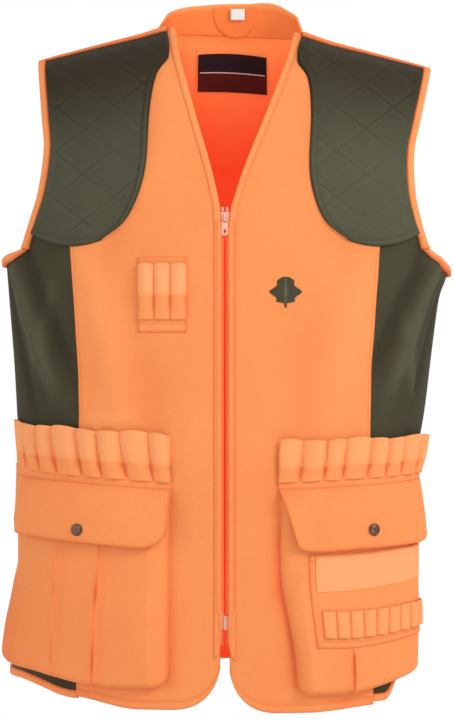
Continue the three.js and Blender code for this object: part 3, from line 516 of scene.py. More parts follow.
def cloth_material(
    name, colour, deep, light, shade=None, weave=0.55, rough=0.85, sheen=0.15, ribs=0.0, relief=0.35, painted_glow=0.0
):
    """Woven cloth: colour varies softly between colour and deep; the mesh's tone attribute shifts it to
    light (above 0), for lighter parts and painted highlights, or to shade (below 0), for painted shadows at
    seams and in folds. weave is the thread pitch in millimetres, and glow how strongly the cloth glows by
    itself: painted light that lifts its shade, standing in partly for the dye's fluorescence."""
    shade = shade or [c * k for c, k in zip(deep, SHADE_TINT)]
    material, shader, node, tree = new_material(name)
    coords = node("TexCoord")
    uv, spot = coords.outputs["UV"], coords.outputs["Object"]
    broad = node("TexNoise", {"Vector": spot, "Scale": 9.0, "Detail": 3.0, "Roughness": 0.55})
    mottle = node("TexNoise", {"Vector": uv, "Scale": 22.0, "Detail": 5.0, "Roughness": 0.6})
    slub = node("Mapping", {"Vector": uv, "Scale": (260.0, 14.0, 1.0)})
    threads = node("TexNoise", {"Vector": slub.outputs["Vector"], "Scale": 1.0, "Detail": 2.0})
    yarns = {"Vector": uv, "Scale": waves(weave), "Distortion": 0.6, "Detail": 1.0}
    warp, weft = (node("TexWave", yarns, bands_direction=axis) for axis in "XY")
    cross = node("Math", {0: warp.outputs["Fac"], 1: weft.outputs["Fac"]}, operation="MULTIPLY")
    tone = node("Attribute", attribute_name="tone")
    lighter = node("Math", {0: tone.outputs["Fac"], 1: 0.0}, operation="MAXIMUM")
    darker = node("Math", {0: tone.outputs["Fac"], 1: -1.0}, operation="MULTIPLY", use_clamp=True)

    def blended(factor, a, b):
        mixer = node("Mix", {"Factor": factor}, data_type="RGBA")
        for socket, value in ((mixer.inputs[6], a), (mixer.inputs[7], b)):
            if isinstance(value, bpy.types.NodeSocket):
                tree.links.new(value, socket)
            else:
                socket.default_value = value
        return mixer.outputs[2]

    def share(noise, low, high, most=1.0):
        limits = {"From Min": low, "From Max": high, "To Max": most}
        return node("MapRange", {"Value": noise.outputs["Fac"], **limits}).outputs["Result"]

    def towards(other, amount):
        return rgba([mix(a, b, amount) for a, b in zip(colour, other)])

    base = blended(share(broad, 0.35, 0.7), rgba(colour), towards(deep, 0.45))
    base = blended(share(mottle, 0.3, 0.75, 0.35), base, rgba(deep))
    base = blended(share(threads, 0.3, 0.7, 0.22), base, towards(light, 0.6))
    base = blended(lighter.outputs["Value"], base, rgba(light))
    base = blended(darker.outputs["Value"], base, rgba(shade))
    tree.links.new(base, shader.inputs["Base Color"])
    height = cross.outputs["Value"]
    if ribs:
        rib = node("TexWave", {"Vector": uv, "Scale": waves(ribs)}, bands_direction="Y")
        height = node("Math", {0: height, 1: rib.outputs["Fac"]}, operation="ADD").outputs["Value"]
    crease = node("TexNoise", {"Vector": spot, "Scale": 38.0, "Detail": 4.0, "Roughness": 0.6})
    raised = node("Math", {0: crease.outputs["Fac"], 1: 6.0, 2: height}, operation="MULTIPLY_ADD")
    bump = node("Bump", {"Height": raised.outputs["Value"], "Strength": relief, "Distance": 0.0005})
    tree.links.new(bump.outputs["Normal"], shader.inputs["Normal"])
    shader.inputs["Roughness"].default_value = rough
    shader.inputs["Sheen Weight"].default_value = sheen
    shader.inputs["Sheen Roughness"].default_value = 0.4
    shader.inputs["Sheen Tint"].default_value = rgba(light)
    shader.inputs["Specular IOR Level"].default_value = 0.2
    if painted_glow:
        tree.links.new(base, shader.inputs["Emission Color"])
        shader.inputs["Emission Strength"].default_value = painted_glow
    return material


def hard_material(name, colour, worn, rough, metal):
    """Metal or nylon whose colour and polish vary with wear."""
    material, shader, node, tree = new_material(name)
    spot = node("TexCoord").outputs["Object"]
    noise = node("TexNoise", {"Vector": spot, "Scale": 420.0, "Detail": 4.0, "Roughness": 0.6})
    ramp = node("MapRange", {"Value": noise.outputs["Fac"], "From Min": 0.42, "From Max": 0.72})
    mixer = node("Mix", {"Factor": ramp.outputs["Result"]}, data_type="RGBA")
    mixer.inputs[6].default_value, mixer.inputs[7].default_value = rgba(colour), rgba(worn)
    tree.links.new(mixer.outputs[2], shader.inputs["Base Color"])
    limits = {"To Min": rough - 0.1, "To Max": rough + 0.15}
    roughness = node("MapRange", {"Value": noise.outputs["Fac"], **limits})
    tree.links.new(roughness.outputs["Result"], shader.inputs["Roughness"])
    bump = node("Bump", {"Height": noise.outputs["Fac"], "Strength": 0.15, "Distance": 0.0002})
    tree.links.new(bump.outputs["Normal"], shader.inputs["Normal"])
    shader.inputs["Metallic"].default_value = metal
    return material


# Orange cloth glows faintly by itself: painted light that lifts its shade, standing in partly for the blaze
# dye's fluorescence.
PAINTED_GLOW = 0.06
ORANGE = cloth_material(
    "blaze_orange_cloth", (0.83, 0.27, 0.082), (0.78, 0.2, 0.06), (0.88, 0.37, 0.14), painted_glow=PAINTED_GLOW
)
ELASTIC = cloth_material(
    "orange_elastic", (0.83, 0.27, 0.08), (0.78, 0.21, 0.06), (0.88, 0.36, 0.15),
    ribs=0.9, relief=0.22, painted_glow=PAINTED_GLOW
)
TAPE = cloth_material(
    "orange_tape", (0.84, 0.28, 0.088), (0.78, 0.2, 0.062), (0.88, 0.36, 0.14), weave=0.7, painted_glow=PAINTED_GLOW
)
# The lining's deep red is partly its own colour and partly painted shade, the dim inside of the vest tinted
# by orange light bouncing there; it also glows strongly by itself, painted light that lifts that shade.
LINING = cloth_material(
    "red_lining", (0.88, 0.055, 0.014), (0.8, 0.042, 0.012), (0.86, 0.24, 0.07), sheen=0.05, painted_glow=0.52
)
# The neck band glows by itself more than the other cloth: painted light that keeps its inner face out of
# shade.
COLLAR = cloth_material(
    "collar_cloth_orange", (0.84, 0.2, 0.045), (0.8, 0.16, 0.032), (0.88, 0.33, 0.11), painted_glow=0.14
)
OLIVE = cloth_material(
    "olive_quilt", (0.08, 0.08, 0.047), (0.062, 0.06, 0.036), (0.15, 0.15, 0.1), (0.03, 0.021, 0.01),
    weave=0.8
)
SIDE_OLIVE = cloth_material(
    "olive_side", (0.05, 0.043, 0.02), (0.036, 0.031, 0.015), (0.12, 0.115, 0.075), (0.018, 0.013, 0.006),
    weave=0.6, sheen=0.08
)
LABEL = cloth_material(
    "label_weave", (0.02, 0.013, 0.018), (0.012, 0.008, 0.012), (0.11, 0.013, 0.01), weave=0.4
)
WHITE = cloth_material("white_tab", (0.86, 0.85, 0.83), (0.76, 0.74, 0.7), (0.9, 0.9, 0.88), weave=0.4)
# The zip lies in shade in the narrow gap between the fronts: its tape is painted a deeper red-orange for that
# painted shade, and glows by itself, painted light tinted by the orange around it.
ZIP_RED = cloth_material(
    "zip_tape", (0.84, 0.13, 0.045), (0.78, 0.1, 0.03), (0.86, 0.22, 0.08), weave=0.5, painted_glow=0.3
)
THREAD = cloth_material(
    "orange_thread", (0.84, 0.3, 0.1), (0.7, 0.18, 0.05), (0.9, 0.42, 0.18), weave=0.3, painted_glow=PAINTED_GLOW
)
OLIVE_THREAD = cloth_material(
    "olive_thread", (0.1, 0.095, 0.06), (0.06, 0.055, 0.035), (0.16, 0.15, 0.1), weave=0.3
)
BRASS = hard_material("antique_brass", (0.1, 0.048, 0.028), (0.3, 0.17, 0.11), 0.42, 0.85)
NYLON = hard_material("zip_nylon", (0.86, 0.45, 0.33), (0.78, 0.33, 0.22), 0.45, 0.0)
# The coil, like the zip's tape, is painted a deeper red-orange for the shade in the gap, and glows by itself,
# painted light.
TEETH = cloth_material(
    "zip_coil", (0.86, 0.2, 0.07), (0.8, 0.13, 0.04), (0.9, 0.3, 0.12), rough=0.5, painted_glow=0.3
)

# ---- Fitting pieces to the frame --------------------------------------------------------------------

SHOULDER_BEND = ((0, 0, 0.0), (0, 0, -0.19))  # metres: a stretch given for a front to hang from the shell over; nothing bends the front along it
LEAST_AREA = 0.31  # the smallest area of a sheet, as a share of its flat size


def underarm_bend(side):
    """Where cloth under the arm would bend between the shell and a front, in metres; nothing bends it."""
    return (side * 0.222, 0.02, 0), (side * 0.205, -0.06, 0)


def set_tone(piece, values):
    """Store how far each point's colour goes to light (above 0) or to shade (below 0)."""
    attribute = piece.data.attributes.new("tone", "FLOAT", "POINT")
    attribute.data.foreach_set("value", np.asarray(values, np.float32).ravel())


def even_tone(value):
    """The same tone all over a cloth."""
    return lambda s, t: 0 * s + value


def fit(piece, body, nodes=(), bend=None):
    """Tie a finished piece to its body and hide the frame's nodes it replaces; with a bend = (a, b, start,
    end) the piece is fixed where it stands instead, and the bend's values are not used.
    """
    if bend:
        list(bend)
        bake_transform(piece)
    else:
        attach(piece, body)
    if nodes:
        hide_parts(*([nodes] if isinstance(nodes, str) else nodes))
    return piece


def lay(name, cloth, material, body, cells, nodes=(), bend=None, thread=THREAD, tone=None,
        painted_edge_shade=0.0, cols=None):
    """Build a piece of cloth with its stitching and tie both to the frame. Returns both pieces."""
    s, t = cloth.grid(*cells, cols=cols)
    piece = cloth.build(name, material, s, t)
    gaps = cloth.gaps(s, t)
    # painted shade: the cloth darkens within about two millimetres of its edges, where it meets the next
    # layer
    values = (tone or even_tone(0))(s, t) - painted_edge_shade * (1 - smooth(nearest(gaps), 0.6, 2.0))
    # painted shade in the groove that each line of topstitching pulls in
    for edge, offset in cloth.stitched:
        values = values - 0.22 * np.exp(-(((gaps[edge] - offset) / 0.9) ** 2))
    set_tone(piece, np.concatenate([values.ravel(), values.ravel()]))
    fit(piece, body, nodes, bend)
    made = [piece]
    if cloth.stitched:
        seams = cloth.seams(name + "_stitching", thread)
        if seams:
            made.append(fit(seams, body, (), bend))
    return made


def declare(pieces, cloth, extras=()):
    """Measure a sheet's widest and tallest lines and its area on the torso; nothing is done with the
    measures.
    """
    p = torso(*cloth.place(*even_grid(SAMPLES, SAMPLES))) * MM
    a, b = p[1:, 1:] - p[:-1, :-1], p[1:, :-1] - p[:-1, 1:]
    area = float(np.linalg.norm(np.cross(a, b), axis=-1).sum() / 2)
    share = np.linspace(0, 1, 9)
    wide, tall = float(cloth.wide(share).max()) * MM, float(cloth.tall(share).max()) * MM
    area = min(max(area, LEAST_AREA * wide * tall), wide * tall)
    list(pieces[1:])
    list(extras)


def side_word(side):
    return "right" if side == RIGHT else "left"


UNDER_PAD = (-212, -225)  # levels between which the front widens from the armhole to the side seam


def panel_edge(level):
    """The outer edge of a front or of the back: the armhole, then the side seam."""
    level = np.asarray(level)
    return mix(SIDE_SEAM(level), ARMHOLE(level) - BINDING_WIDE - 1, smooth(level, UNDER_PAD[1], UNDER_PAD[0]))


def hem_sag(side):
    """How the rows near the front hem follow its rounded corner and its rise to the side."""
    outer, base = (11, 3.5) if side == RIGHT else (4.5, 0)

    def sag(half, t, s, level):
        inward = np.clip((ZIP_HALF_GAP + 52 - half) / 52, 0, 1)
        rise = 60 * (1 - (1 - inward**2.4) ** (1 / 2.4)) + outer * smooth(half, 85, 160) + base
        return rise * np.clip((-590 - level) / (-590 - HEM), 0, 1)

    return sag


def side_hem(side, phi):
    """The hem's level at the side: it climbs away from the front and falls back behind."""
    around = np.minimum(np.abs(phi), math.pi - np.abs(phi))
    if side == RIGHT:
        return SIDE_HEM + 16 * smooth(around, 0.7, 1.25)
    dip = np.where(np.abs(phi) < QUARTER, 5, 0)  # in front it starts lower, level with the front's hem
    return SIDE_HEM - dip + (24 + dip) * smooth(around, 0.97, 1.2)


def back_hem(offset):
    """The hem's level behind, highest in the middle."""
    return SIDE_HEM + 17 * (1 - smooth(np.abs(offset), 20, 120))


def under_yoke(s):
    """Where a front starts, just under the yoke's edge."""
    return mix(*YOKE_FORWARD, s) + 1.0


# ---- Fronts -----------------------------------------------------------------------------------------


def build_front(side):
    word = side_word(side)
    front = word + "_front"
    bend = ("shell", front, *SHOULDER_BEND)

    def inner(level):
        beside_binding = NECK_EDGE(level) + (BINDING_WIDE - 1.5) * smooth(level, -215, -150)
        return np.maximum(beside_binding, ZIP_HALF_GAP)

    # painted shade: fold ridges of the front a little lighter than its valleys, and a painted shadow along
    # the cargo pocket's inner edge
    def panel_tone(s, t):
        return painted_fold_shade(panel.place, 0.05)(s, t) + pocket_shadow(side, *panel.place(s, t))

    panel = Cloth(between(side, under_yoke, HEM, inner, lambda level: panel_edge(level) + 1.5, hem_sag(side)),
                  -2.0, 2.0, {"bottom": (7.5, 9.0), "right": 3.0})
    main = lay(word + "_front_cloth", panel, ORANGE, front, (90, 240), word + "_front_panel",
               bend, painted_edge_shade=0.35, tone=panel_tone)
    extras = build_pad(side, front, bend)
    extras += build_edges(side, front, bend)
    extras += shell_loops(side, front)
    cargo_pocket(side, front)
    declare(main, panel, extras)
    build_flap(side)
    zip_side(side, front)


def build_pad(side, front, bend):
    """The quilted shoulder pad. Returns its stitching, which goes with the front."""
    word = side_word(side)
    pad_place = between(
        side,
        under_yoke,
        PAD_BOTTOM,
        PAD_EDGE,
        lambda level: ARMHOLE(level) - BINDING_WIDE + 0.5,
        lambda half, t, s, level: -10 * np.clip((t - 0.7) / 0.3, 0, 1) * (1 - (2 * s - 0.8) ** 2),
    )
    pad = Cloth(pad_place, -0.4, pad_thickness(pad_place), {"left": 6.5, "bottom": 6.5}, roll=3.2)
    padding = lay(word + "_pad_cloth", pad, OLIVE, front, (110, 150), word + "_shoulder_pad",
                  bend, thread=OLIVE_THREAD, painted_edge_shade=0.5, tone=quilt_tone(side, pad_place))
    return padding[1:]


def build_edges(side, front, bend):
    """The neck binding, the facing beside the zip, and the armhole binding, whose low end under the arm is a
    piece of its own.
    """
    word = side_word(side)
    neck = Cloth(
        between(side, steady(1), -208, NECK_EDGE, lambda level: NECK_EDGE(level) + BINDING_WIDE - 0.5),
        -0.6, 1.7, {"right": 1.4}, roll=1.3,
    )
    made = lay(word + "_neck_binding_cloth", neck, ORANGE, front, (10, 90),
               word + "_neck_binding", bend, painted_edge_shade=0.1, tone=even_tone(0.18))
    facing = Cloth(
        between(side, steady(float(down_to(-206))), -664, steady(ZIP_HALF_GAP - 0.2),
                steady(ZIP_HALF_GAP + 7.5), hem_sag(side)),
        0.4, 0.9, {"left": 5.4}, roll=0.8,
    )
    made += lay(word + "_placket_cloth", facing, ORANGE, front, (10, 200), word + "_placket",
                painted_edge_shade=0.25)
    for part, span, rows, nodes, turn in (
        ("front_binding", (0, ARMHOLE_FALL), 120, word + "_armhole_binding_front", bend),
        ("underarm_binding", (ARMHOLE_FALL, 1), 40, (), ("shell", front, *underarm_bend(side))),
    ):
        cloth = Cloth(armhole_place(side, 1, span), -1.6, 4.0, {"right": 1.4}, roll=1.8)
        made += lay(f"{word}_{part}_cloth", cloth, TAPE, front, (10, rows), nodes, turn,
                    painted_edge_shade=0.3)
    return made


def pad_thickness(place):
    """The quilted pad: a rolled rim, a stitched groove inside it, and soft diamonds; thin at the yoke."""

    def thickness(s, t, d):
        rim = 3.4 * rounded(d / 3.2)
        field = 3.2 + 1.0 * smooth(quilt_gap(place, s, t), 0, 9) * smooth(d, 7, 14)
        full = mix(rim + 1.0, field, smooth(d, 4.5, 8.0))
        return full * mix(0.2, 1, smooth(t * PAD_TALL, 4, 38))

    return thickness


QUILT_PITCH = 37


def quilt_gap(place, s, t):
    """Distance to the nearest line of quilting."""
    points = torso(*place(s, t))
    across, up = np.abs(points[..., 0]) * 0.62, points[..., 2] * 0.79

    def off(x):
        return np.abs((x / QUILT_PITCH + 0.5) % 1 - 0.5) * QUILT_PITCH

    return np.minimum(off(across + up), off(across - up + 9))


def quilt_tone(side, place):
    """Fine dark lines of quilting, painted shade in their grooves, each with a faint painted highlight along
    its edge; the pad is darker up at the shoulder.
    """

    def tone(s, t):
        inside = smooth(np.minimum(s, 1 - s), 0.03, 0.08)
        inside = inside * smooth(t, 0.03, 0.06) * (1 - smooth(t, 0.93, 0.97))
        gap = quilt_gap(place, s, t)
        lines = 0.13 * np.exp(-(((gap - 2.6) / 1.5) ** 2)) - 0.24 * np.exp(-((gap / 1.3) ** 2))
        lines = lines * (0.65 + 0.35 * np.sin(5 * s + 8 * t + side))
        high = 0.85 * (1 - smooth(-level_at(place(s, t)[1]), 20, 150)) + (0.22 if side == RIGHT else 0.04)
        return lines * inside - high

    return tone


def painted_fold_shade(place, strength):
    """Painted light and shade on the folds: ridges of the cloth a little lighter than its valleys."""
    return lambda s, t: np.clip(strength * drape(*place(s, t)), -0.4, 0.4)


ARMHOLE_FALL = 0.78  # the share of an armhole binding that runs down; the rest goes round under the arm


def armhole_place(side, face, span):
    """place() for a stretch of the armhole's binding, in front (face 1) or behind (face -1)."""
    tip = YOKE_FORWARD[1] + 0.5 if face > 0 else 0.5
    lowest = ARMHOLE.k[0]

    def place(s, t):
        t = mix(*span, t)
        level = level_at(mix(tip, down_to(lowest), np.minimum(t / ARMHOLE_FALL, 1)))
        rim = np.abs(angle_at(ARMHOLE(level) - BINDING_WIDE * s, level, side))
        under = np.clip((t - ARMHOLE_FALL) / (1 - ARMHOLE_FALL), 0, 1)
        start = rim + math.radians(1.2) * s * (under > 0)
        phi = mix(start, QUARTER - math.radians(0.6 if face > 0 else 0.3), under)
        dip = mix(level, ARMHOLE_LOW[side], under**0.7) - BINDING_WIDE * s * np.minimum(1, 3 * under)
        low = t > ARMHOLE_FALL
        return side * np.where(low, phi, rim), face * down_to(np.where(low, dip, level))

    return place


# ---- Loops ------------------------------------------------------------------------------------------


def loop_bow(count, swell, fade=lambda s: 1.0, lift=0.2, closed=0.4):
    """Height of elastic over a row of loops, which close a little towards their lower edge."""
    return lambda s, t, d: lift + arch(s * count) ** 0.6 * swell * fade(s) * (1 - closed * smooth(t, 0.45, 1))


LOOP_COUNT = 8
LOOP_DROP = {  # at the top and at the flap's seam: how far below the frame's, how far the inner end sags
    RIGHT: ((0, 6), (2.5, 6.5)),
    LEFT: ((10, 2.6), (5, 4)),
}


def loop_drop(side, s, t):
    """How far the loops, or below them the flap's seam, hang under the frame's."""
    (high, high_slant), (low, low_slant) = LOOP_DROP[side]
    return mix(high, low, t) + mix(high_slant, low_slant, t) * (1 - 2 * s)


def shell_loops(side, front):
    word = side_word(side)
    inner = float(angle_at(POCKET_INNER - 1, LOOPS_TOP, side))
    even = evenly(inner, side * POCKET_OUTER, LOOPS_TOP)
    lean = 0.03 if side == RIGHT else 0.012  # the loops' lower ends lean towards the zip

    def along(s, t):
        return np.clip(s + 0.012 * np.sin(6 * math.pi * s + side) + lean * t**2, 0, 1)

    def place(s, t):
        scallops = 2.0 * arch(along(s, t) * LOOP_COUNT) ** 0.7 * (1 - t) ** 2
        wave = scallops + 1.2 * np.sin(5 * math.pi * s + side)
        level = mix(LOOPS_TOP + wave, LOOPS_BOTTOM - 1, t)
        return even(s), down_to(level - loop_drop(side, s, t))

    def fade(s):
        return mix(1, 0.25 if side == RIGHT else 1.3, smooth(s, 0.7, 0.97))

    bow = loop_bow(LOOP_COUNT, 7.0, fade)
    band = Cloth(place, lambda s, t, d: bow(along(s, t), t, d), 1.4, roll=0.8)

    def tone(s, t):
        seam = np.abs((along(s, t) * LOOP_COUNT + 0.5) % 1 - 0.5)
        wedge = 0.045 + 0.09 * smooth(t, 0.25, 0.6) * (1 - smooth(t, 0.65, 1))
        shadow = mix(0.25, 0.8, smooth(t, 0.35, 0.75)) * np.exp(-((seam / wedge) ** 2))
        return mix(0.6, 0.12, smooth(t, 0.6, 0.67)) - shadow

    made = lay(word + "_loops_cloth", band, ELASTIC, front, (LOOP_COUNT * 26, 30),
               word + "_shell_loops", painted_edge_shade=0.1, tone=tone)

    def seam_place(s, t):
        return even(s), down_to(mix(LOOPS_BOTTOM + 3.5, FLAP_TOP - 2, t) - loop_drop(side, s, 1))

    strip = Cloth(seam_place, -0.3, 3.0, {"top": 2.0, "bottom": 2.0}, roll=1.4)
    return made + lay(word + "_flap_seam_cloth", strip, TAPE, front, (120, 10),
                      word + "_flap_seam", painted_edge_shade=0.3)


# ---- Pockets ----------------------------------------------------------------------------------------

POCKET_SIZE, POCKET_DEEP = (172.0, 196.0), 14.5
PLEATS = {  # share of the pocket's width, how far it leans, height, and where down the pocket it opens
    RIGHT: ((0.362, 0.04, 4.4, (0.05, 0.4)), (0.585, 0.04, 2.2, (0.05, 0.4))),
    LEFT: ((0.375, 0.02, 4.0, (0.74, 0.8)),),
}


def pleats(side, s, t):
    """Each pleat of a pocket: (distance past its fold, its height, how far it has opened)."""
    for at, tilt, fold_high, opens in PLEATS[side]:
        yield (s - at - tilt * (t - 0.5)) * POCKET_SIZE[0], fold_high, smooth(t, *opens)


def pocket_tone(side, s, t):
    """The shadow in each pleat, deepest where the fold stands open, and the shaded outer end."""
    tone = -0.3 * smooth(s, 0.55, 0.95) * smooth(t, 0.3, 0.75) if side == RIGHT else 0 * s
    for off, fold_high, opened in pleats(side, s, t):
        gape = 0.25 + 0.6 * np.exp(-(((t - 0.5) / 0.07) ** 2)) + 0.6 * np.exp(-(((t - 0.86) / 0.09) ** 2))
        shadow = np.clip(fold_high / 4.2 * gape, 0, 1) * np.exp(-(((off + 0.8) / 1.0) ** 2))
        tone = tone - (shadow + 0.1 * np.exp(-(((off + 5) / 6) ** 2))) * opened
    return tone


def pocket_place(side):
    """place() for a cargo pocket: rounded lower corners, and a bottom that climbs to the side."""
    even = evenly(float(angle_at(POCKET_INNER, MOUTH, side)), side * POCKET_OUTER, -560)
    high, low, start = (-676, -657, 0.25) if side == RIGHT else (-683, -666, 0.3)
    corner, wide = (34, 0.19) if side == RIGHT else (18, 0.1)

    def place(s, t):
        cut = np.maximum(18 * (1 - rounded(s / 0.1)), corner * (1 - rounded((1 - s) / wide)))
        shift = 0.09 * (1 - s) ** 2 * smooth(t, 0.35, 1) if side == LEFT else 0
        return even(s) + shift, down_to(mix(MOUTH, mix(high, low, smooth(s, start, 1)) + cut, t))

    return place


def pocket_shadow(side, phi, v):
    """The deep orange shadow on a front along the inner edge of its cargo pocket."""
    level = level_at(v)
    t = np.clip((level - MOUTH) / (POCKET_BOTTOM - MOUTH), 0, 1)
    off = (np.abs(pocket_place(side)(0 * t, t)[0]) - np.abs(phi)) * 190
    near = 0.45 * np.exp(-((off / 4.5) ** 2)) + 0.25 * np.exp(-((off / 13) ** 2))
    strength = 1 if side == LEFT else 0.6
    return -near * smooth(-level, 470, 530) * (1 - smooth(-level, 660, 685)) * strength


def fullness(s, t):
    """How full a pocket is: more so lower down and towards the zip."""
    return mix(0.42, 1, smooth(t, 0, 0.7)) * mix(1, 0.8 + 0.2 * t, smooth(s, 0.5, 1))


def pocket_bulge(side, s, t):
    """How far the middle of a pocket stands off the front."""
    shoulder = np.clip(np.minimum(np.minimum(1, s / 0.1), (1 - s) / 0.2), 0, 1)
    high = 1.0 + POCKET_DEEP * fullness(s, t) * shoulder**0.5
    for off, fold_high, opened in pleats(side, s, t):
        # the cloth rises slowly towards the outer side of the fold, then drops into it
        high = high + fold_high * np.where(off > 0, np.exp(-off / 20), np.exp(off / 1.3)) * opened
    sway = np.sin(7 * s + 9 * t) * 0.7 + np.sin(13 * s - 5 * t + 1) * 0.45
    outer = (4.5 if side == RIGHT else 1.5) * smooth(s, 0.72, 0.9) * smooth(t, 0.35, 0.85)
    if side == RIGHT:
        outer = outer - 4.5 * smooth(s, 0.6, 0.9) * (1 - smooth(t, 0.3, 0.6))
    return high + sway * smooth(t, 0.1, 0.5) + outer


def pocket_wall(side, s, t):
    """Height of the pocket's front wall; it comes down to the panel at its sides and bottom."""
    d = np.minimum(np.minimum(s, 1 - s) * POCKET_SIZE[0], (1 - t) * POCKET_SIZE[1])
    return mix(0.6, np.maximum(pocket_bulge(side, s, t), 2.0), rounded(d / 9))


def pocket_columns(side):
    """Columns across the pocket, close together at its pleats."""
    fine = [pleat[0] + k * 0.7 / POCKET_SIZE[0] for pleat in PLEATS[side] for k in range(-10, 11)]
    return np.unique(np.concatenate([spread(110, POCKET_SIZE[0]), fine]).round(6))


def cargo_pocket(side, front):
    word = side_word(side)
    bag = Cloth(pocket_place(side), lambda s, t, d: pocket_wall(side, s, t) - 1.5, 1.5,
                {"left": 2.2, "bottom": 2.2}, roll=1.0)
    made = lay(word + "_pocket_cloth", bag, ORANGE, front, (130, 130), word + "_cargo_pocket",
               painted_edge_shade=0.3, cols=pocket_columns(side), tone=lambda s, t: pocket_tone(side, s, t))
    if side == LEFT:
        made += small_round_patch(front)
    declare(made[:1], bag, made[1:])


def on_pocket(box, off, thick, bow=None, **more):
    """Cloth sewn on the wearer's left pocket: box is (inner share, outer share, top, bottom level)."""
    wall = pocket_place(LEFT)
    left, right, top, bottom = box

    def spot(s, t):
        level = mix(top, bottom, t)
        rise = mix(3.4, -3.8, smooth(-level, 574, 592))  # keeps the rows straight as the pocket climbs
        return mix(left, right, s), (level + rise * s - MOUTH) / (POCKET_BOTTOM - MOUTH)

    def lift(s, t, d):
        return pocket_wall(LEFT, *spot(s, t)) + off + (bow(s, t, d) if bow else 0)

    return Cloth(lambda s, t: wall(*spot(s, t)), lift, thick, **more)


def small_round_patch(front):
    """The backing patch on the left pocket, with its wide elastic band and its row of small loops."""
    hems = {edge: (1.8, 6.5) for edge in ("left", "right", "top", "bottom")}
    patch = on_pocket((0.15, 0.93, -538, -627), -0.3, 1.5, stitched=hems)
    made = lay("rifle_patch_cloth", patch, TAPE, front, (70, 60), "rifle_patch",
               painted_edge_shade=0.35)
    elastic = on_pocket((0.185, 0.915, -540, -574), 1.0, 1.1, roll=0.8)
    made += lay("wide_elastic_cloth", elastic, ELASTIC, front, (60, 30),
                "wide_elastic_band", painted_edge_shade=0.2, tone=even_tone(0.7))
    count = 9
    loops = on_pocket((0.20, 0.915, -591, -617), 1.0, 1.1, lambda s, t, d: 3.6 * arch(s * count) ** 0.6,
                      roll=0.7)
    # painted shade in the gaps between the small loops, on the elastic's lighter own colour
    return made + lay("rifle_loops_cloth", loops, ELASTIC, front, (count * 18, 16),
                      "rifle_loops", painted_edge_shade=0.15,
                      tone=lambda s, t: 0.45 - 0.7 * (1 - smooth(arch(s * count), 0, 0.4)))


def flap_lift(side):
    """Height of a closed flap: flat at its seam, then out over the full pocket."""

    def lift(s, t, d):
        level = mix(FLAP_TOP, FLAP_BOTTOM, t)
        tuck = (9 if side == RIGHT else 3) * smooth(s, 0.8, 1)
        down = np.clip((level - MOUTH) / (POCKET_BOTTOM - MOUTH), 0, 1)
        shoulder_s = np.clip(s, 0.12, 0.9)
        high = 1.5 + 15 * fullness(shoulder_s, down) * np.clip((1 - shoulder_s) / 0.2, 0, 1) ** 0.5 + 5.6
        sway = 0.9 * np.sin(5 * s + 2 * t + side) * smooth(np.abs(s - 0.6), 0.08, 0.3) * t
        return mix(0.4, high + sway - tuck, 1 - (1 - t) ** mix(4, 2.2, smooth(s, 0.75, 0.95)))

    return lift


FLAP_SHAPE = {
    # the inner and outer corners' (depth, share of the width); the lower edge's level at either end; how far
    # round the inner end drifts, in radians; the heights, in metres, given for the flap's bend, which is not
    # used
    RIGHT: ((22, 0.17), (13, 0.09), (-536, -520), 0.012, (-0.467, -0.492)),
    LEFT: ((10, 0.17), (8, 0.07), (-539, -530), 0.085, (-0.473, -0.498)),
}


def build_flap(side):
    word = side_word(side)
    inner, outer = float(angle_at(POCKET_INNER - 2, FLAP_TOP, side)), POCKET_OUTER + math.radians(1)
    even = evenly(inner, side * outer, FLAP_TOP)
    (inner_cut, inner_wide), (outer_cut, outer_wide), low, drift, heights = FLAP_SHAPE[side]

    def place(s, t):
        cut = inner_cut * (1 - rounded(s / inner_wide)) + outer_cut * (1 - rounded((1 - s) / outer_wide))
        shift = side * (drift * (1 - s) ** 3 * t)
        top = FLAP_TOP - loop_drop(side, s, 1)
        return even(s) + shift, down_to(mix(top, mix(*low, s) + cut, t))

    flap = Cloth(place, flap_lift(side), 2.0, {"left": 2.2, "right": 2.2, "bottom": 2.2}, roll=1.5)
    bend = (word + "_front", word + "_flap", *((0, 0, height) for height in heights))
    piece = lay(word + "_flap_cloth", flap, ORANGE, word + "_flap", (110, 70),
                word + "_pocket_flap", bend, painted_edge_shade=0.35)
    declare(piece, flap)


# ---- Chest ------------------------------------------------------------------------------------------

CHEST_SPAN = (38, 88)  # the chest patch's sides, from the middle


def chest(front):
    """The chest patch with its three loops."""

    def place(top, bottom, inset):
        inner, outer = CHEST_SPAN[0] + inset, CHEST_SPAN[1] - inset
        return between(RIGHT, steady(float(down_to(top))), bottom, steady(inner), steady(outer))

    patch = Cloth(place(-242, -318, 0), -0.3, 1.5, {"left": 1.8, "right": 1.8, "bottom": (1.8, 9)}, roll=1.1)
    made = lay("chest_patch_cloth", patch, TAPE, front, (30, 44), "chest_patch",
               painted_edge_shade=0.35)
    holder = place(-250, -305, 0.5)

    def waved(s, t):
        phi, v = holder(s, t)
        return phi, v - 2.0 * arch(3 * s) ** 0.7 * (1 - t) ** 2

    band = Cloth(waved, loop_bow(3, 4.8, lift=1.3, closed=0.6), 1.3, roll=0.8)

    def tone(s, t):
        seam = np.abs((3 * s + 0.5) % 1 - 0.5)
        wedge = 0.05 + 0.1 * smooth(t, 0.25, 0.55) * (1 - smooth(t, 0.6, 1))
        shadow = mix(0.1, 0.6, smooth(t, 0.35, 0.7)) * np.exp(-((seam / wedge) ** 2))
        return mix(0.75, 0.12, smooth(t, 0.52, 0.58)) - shadow

    return made + lay("chest_loops_cloth", band, ELASTIC, front, (90, 44), "chest_loops",
                      painted_edge_shade=0.05, tone=tone)


